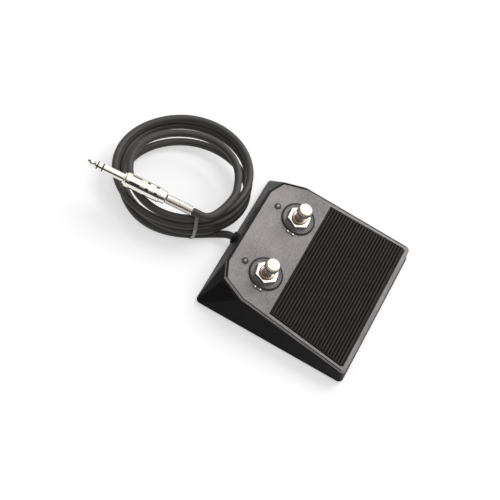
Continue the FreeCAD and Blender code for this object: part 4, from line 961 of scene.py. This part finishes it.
class FOOTSWITCH_OT_grommet(Operator):
    """Model the grommet where the cord leaves the casing"""
    bl_idname = "footswitch.grommet"
    bl_label = "Grommet"

    def execute(self, context):
        grommet = turned("ribbed_grommet", [
            (3, -4.2), (4.9, -4.2), (5, -4), (5, -2.9), (4, -2.6), (4, 0.2), (5, 0.5),
            (5, 1.3), (4.7, 1.75), (4.1, 1.95), (3.6, 1.9), (3, 1.6), (3, -4.2)], 56, 40)
        place(grommet, shift(*CORD_EXIT) @ Matrix.Rotation(math.radians(-90), 4, "X"))
        dress(grommet, "black_rubber", "cord_grommet")
        return {"FINISHED"}


class FOOTSWITCH_OT_cable_tie(Operator):
    """Model the tie round the coil's stacked strands"""
    bl_idname = "footswitch.cable_tie"
    bl_label = "Cable tie"

    def execute(self, context):
        tie = copy_of(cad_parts["cable_tie"], "nylon_tie")
        for label in [key for key in tie.keys() if key.startswith("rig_")]:
            del tie[label]
        merge_points(tie)
        bpy.ops.mesh.dissolve_limited(angle_limit=math.radians(1))
        bpy.ops.mesh.normals_make_consistent(inside=False)
        deselect()
        place(tie, shift(*TIE_SHIFT))
        round_edges(tie, 0.12, 2, 40)
        smooth(tie, 40)
        dress(tie, "tie_nylon", "cable_tie")
        return {"FINISHED"}


# Plug

def on_plug(piece, distance, slot, *nodes):
    """Set a piece built about Z on the plug's axis and dress it."""
    dress(place(piece, PLUG @ shift(0, 0, distance)), slot, *nodes)


class FOOTSWITCH_OT_plug(Operator):
    """Model the phone plug with its spring, collar, barrel and pin"""
    bl_idname = "footswitch.plug"
    bl_label = "Plug"

    def execute(self, context):
        at = SPRING_LENGTH
        collar = turned("knurled_collar", [
            (3.1, 0), (4.5, 0), (5, 0.35), (5.2, 0.8), (5.2, 1.6), (5, 1.8), (5, 2.1),
            (5.2, 2.3), (5.2, 4.5), (3.1, 4.5), (3.1, 0)], soft=35)
        on_plug(collar, at, "plug_nickel", "plug_collar")
        at += COLLAR_LENGTH
        barrel = turned("plug_barrel_shell", [
            (4.9, 0), (5.5, 0), (BARREL_RADIUS, 0.25), (BARREL_RADIUS, 1.6), (5.65, 1.75),
            (5.65, 2.05), (BARREL_RADIUS, 2.2), (BARREL_RADIUS, 28.1), (5.6, 28.6),
            (5.1, BARREL_LENGTH), (4.9, BARREL_LENGTH), (4.9, 0)], 72)
        for low, width, length in WINDOW_ROWS:
            for i in range(WINDOWS_ROUND):
                window = box("window", (2 * WINDOW_DEPTH, width, length),
                             (BARREL_RADIUS, 0, low + length / 2))
                turn = 2 * math.pi * i / WINDOWS_ROUND + WINDOW_TURN
                cut(barrel, place(window, Matrix.Rotation(turn, 4, "Z")))
        smooth(barrel)
        on_plug(barrel, at, "plug_nickel", "plug_barrel")
        liner = turned("barrel_liner", [(0, 0.1), (4.9, 0.1), (4.9, 28.9), (0, 28.9)], 48, 35)
        on_plug(liner, at, "plug_insulation")
        at += BARREL_LENGTH
        sleeve = turned("pin_sleeve", [
            (0, 0), (4.4, 0), (4.6, 0.2), (4.6, 1.2), (4.4, 1.4), (PIN_RADIUS, 1.4),
            (PIN_RADIUS, SLEEVE_LENGTH - 0.1), (3.1, SLEEVE_LENGTH), (0, SLEEVE_LENGTH)], soft=35)
        on_plug(sleeve, at, "plug_nickel", "plug_sleeve")
        at += SLEEVE_LENGTH
        bands = (("rear_band", BAND_LENGTH, "plug_insulation", "plug_rear_insulator"),
                 ("pin_ring", RING_LENGTH, "plug_nickel", "plug_ring"),
                 ("front_band", BAND_LENGTH, "plug_insulation", "plug_front_insulator"))
        for name, length, slot, node in bands:
            band = turned(name, [
                (0, 0), (3.1, 0), (PIN_RADIUS, 0.08), (PIN_RADIUS, length - 0.08),
                (3.1, length), (0, length)], 56, 35)
            on_plug(band, at, slot, node)
            at += length
        tip = turned("pin_tip", [
            (0, 0), (3.1, 0), (PIN_RADIUS, 0.1), (PIN_RADIUS, 1), (2.75, 1.5), (2.25, 2.4),
            (2.1, 2.95), (2.3, 3.5), (2.8, 4.35), (3, 4.8), (2.9, 5.2), (1.9, 6.3),
            (1.15, 7.15), (0.85, 7.75), (0.45, 8.12), (0, 8.2)], 56, 40)
        on_plug(tip, at, "plug_nickel", "plug_tip")
        pitch = context.scene.footswitch_sizes.spring_pitch / MM
        turns = (SPRING_LENGTH - 2 * SPRING_MARGIN) / pitch
        points = helix(PLUG, SPRING_RADIUS, SPRING_MARGIN, pitch, turns, SPRING_STEPS)
        spring = line_curve("strain_spring", points, SPRING_WIRE, resolution=2, bevel=3)
        dress(spring, "spring_steel", "plug_spring")
        return {"FINISHED"}


class FOOTSWITCH_OT_cord_facts(Operator):
    bl_idname = "footswitch.cord_facts"
    bl_label = "Cord facts"

    def execute(self, context):
        return {"FINISHED"}


# Studio

def aim(piece, forward, up):
    """Turn a camera or lamp to look along a direction."""
    forward = Vector(forward).normalized()
    right = forward.cross(Vector(up)).normalized()
    turn = Matrix((right, right.cross(forward), -forward)).transposed()
    piece.rotation_euler = turn.to_euler()


def add_lamp(name, at, size, power):
    """A square soft lamp that faces the object."""
    deselect()
    bpy.ops.object.light_add(type="AREA", location=at)
    lamp = bpy.context.object
    lamp.name = name
    lamp.data.shape = "SQUARE"
    lamp.data.size = size
    lamp.data.energy = power
    aim(lamp, LAMPS_LOOK_AT - Vector(at), (0, 0, 1))


class FOOTSWITCH_OT_stage(Operator):
    """Set up the floor, the light and the camera"""
    bl_idname = "footswitch.stage"
    bl_label = "Studio"

    def execute(self, context):
        stage = context.scene.footswitch_stage
        deselect()
        bpy.ops.mesh.primitive_plane_add(size=stage.floor_size)
        floor = named("studio_floor")
        floor.data.materials.append(self.floor_material(stage))
        self.surround(context.scene, stage.surround)
        add_lamp("key_lamp", KEY_LAMP_AT, KEY_LAMP_SIZE, stage.key_power)
        add_lamp("fill_lamp", FILL_LAMP_AT, FILL_LAMP_SIZE, stage.fill_power)
        bpy.ops.object.camera_add(location=CAMERA_AT)
        camera = context.object
        camera.name = "photo_camera"
        aim(camera, CAMERA_WAY, CAMERA_UP)
        camera.data.lens = stage.lens
        camera.data.clip_start = 0.05
        context.scene.camera = camera
        context.scene.view_settings.view_transform = "Standard"
        return {"FINISHED"}

    def floor_material(self, stage):
        """Pale floor that keeps the shadow, lifted to white for the camera and in reflections."""
        material = bpy.data.materials.new("studio_floor")
        material.use_nodes = True
        tree = material.node_tree
        shader = tree.nodes["Principled BSDF"].inputs
        shader["Base Color"].default_value = (*stage.floor_colour, 1.0)
        shader["Roughness"].default_value = 0.9
        shader["Specular IOR Level"].default_value = 0.1
        shader["Emission Color"].default_value = (1, 1, 1, 1)
        path = add(tree, "LightPath", {})
        seen = maths(tree, "MAXIMUM", path["Is Camera Ray"], path["Is Glossy Ray"])
        tree.links.new(maths(tree, "MULTIPLY", seen, FLOOR_LIFT), shader["Emission Strength"])
        return material

    def surround(self, scene, strength):
        """An even surround that the camera and reflections see brighter."""
        world = bpy.data.worlds.new("studio_surround")
        scene.world = world
        world.use_nodes = True
        tree = world.node_tree
        background = tree.nodes["Background"].inputs
        background["Color"].default_value = (1, 1, 1, 1)
        towards = add(tree, "VectorMath", {0: add(tree, "TexCoord", {})["Generated"], 1: GLOW_WAY},
                      operation="DOT_PRODUCT")["Value"]
        glow = spread(tree, towards, *GLOW_RANGE, *GLOW_STRENGTHS, interpolation_type="SMOOTHSTEP")
        path = add(tree, "LightPath", {})
        around = add(tree, "Mix", {"Factor": path["Is Glossy Ray"], "A": strength, "B": glow})["Result"]
        level = add(tree, "Mix", {"Factor": path["Is Camera Ray"], "A": around, "B": 1.0})["Result"]
        tree.links.new(level, background["Strength"])


# Panel in the sidebar

STEPS = (FOOTSWITCH_OT_casing, FOOTSWITCH_OT_edges, FOOTSWITCH_OT_inside,
         FOOTSWITCH_OT_return_springs, FOOTSWITCH_OT_tread_mat, FOOTSWITCH_OT_feet,
         FOOTSWITCH_OT_case_screws, FOOTSWITCH_OT_washers, FOOTSWITCH_OT_nuts,
         FOOTSWITCH_OT_buttons, FOOTSWITCH_OT_lamps, FOOTSWITCH_OT_cord, FOOTSWITCH_OT_grommet,
         FOOTSWITCH_OT_cable_tie, FOOTSWITCH_OT_plug, FOOTSWITCH_OT_cord_facts, FOOTSWITCH_OT_stage)


class FOOTSWITCH_PT_sidebar(Panel):
    """Settings and steps of the foot pedal switch"""
    bl_idname = "FOOTSWITCH_PT_sidebar"
    bl_label = "Foot pedal switch"
    bl_space_type = "VIEW_3D"
    bl_region_type = "UI"
    bl_category = "Footswitch"

    def draw(self, context):
        layout = self.layout
        for settings in (context.scene.footswitch_colours, context.scene.footswitch_sizes,
                         context.scene.footswitch_stage):
            for label in settings.__annotations__:
                layout.prop(settings, label)
        for step in STEPS:
            layout.operator(step.bl_idname)


CLASSES = (FootswitchColours, FootswitchSizes, FootswitchStage, *STEPS, FOOTSWITCH_PT_sidebar)


def register():
    """Register the settings, steps and panel."""
    for cls in CLASSES:
        bpy.utils.register_class(cls)
    bpy.types.Scene.footswitch_colours = PointerProperty(type=FootswitchColours)
    bpy.types.Scene.footswitch_sizes = PointerProperty(type=FootswitchSizes)
    bpy.types.Scene.footswitch_stage = PointerProperty(type=FootswitchStage)


def unregister():
    """Remove the settings, steps and panel."""
    del bpy.types.Scene.footswitch_stage
    del bpy.types.Scene.footswitch_sizes
    del bpy.types.Scene.footswitch_colours
    for cls in reversed(CLASSES):
        bpy.utils.unregister_class(cls)


def main():
    """Build everything in order."""
    register()
    make_finishes(bpy.context.scene.footswitch_colours)
    for step in STEPS:
        group, name = step.bl_idname.split(".")
        getattr(getattr(bpy.ops, group), name)()
    deselect()


if __name__ == "__main__":
    main()
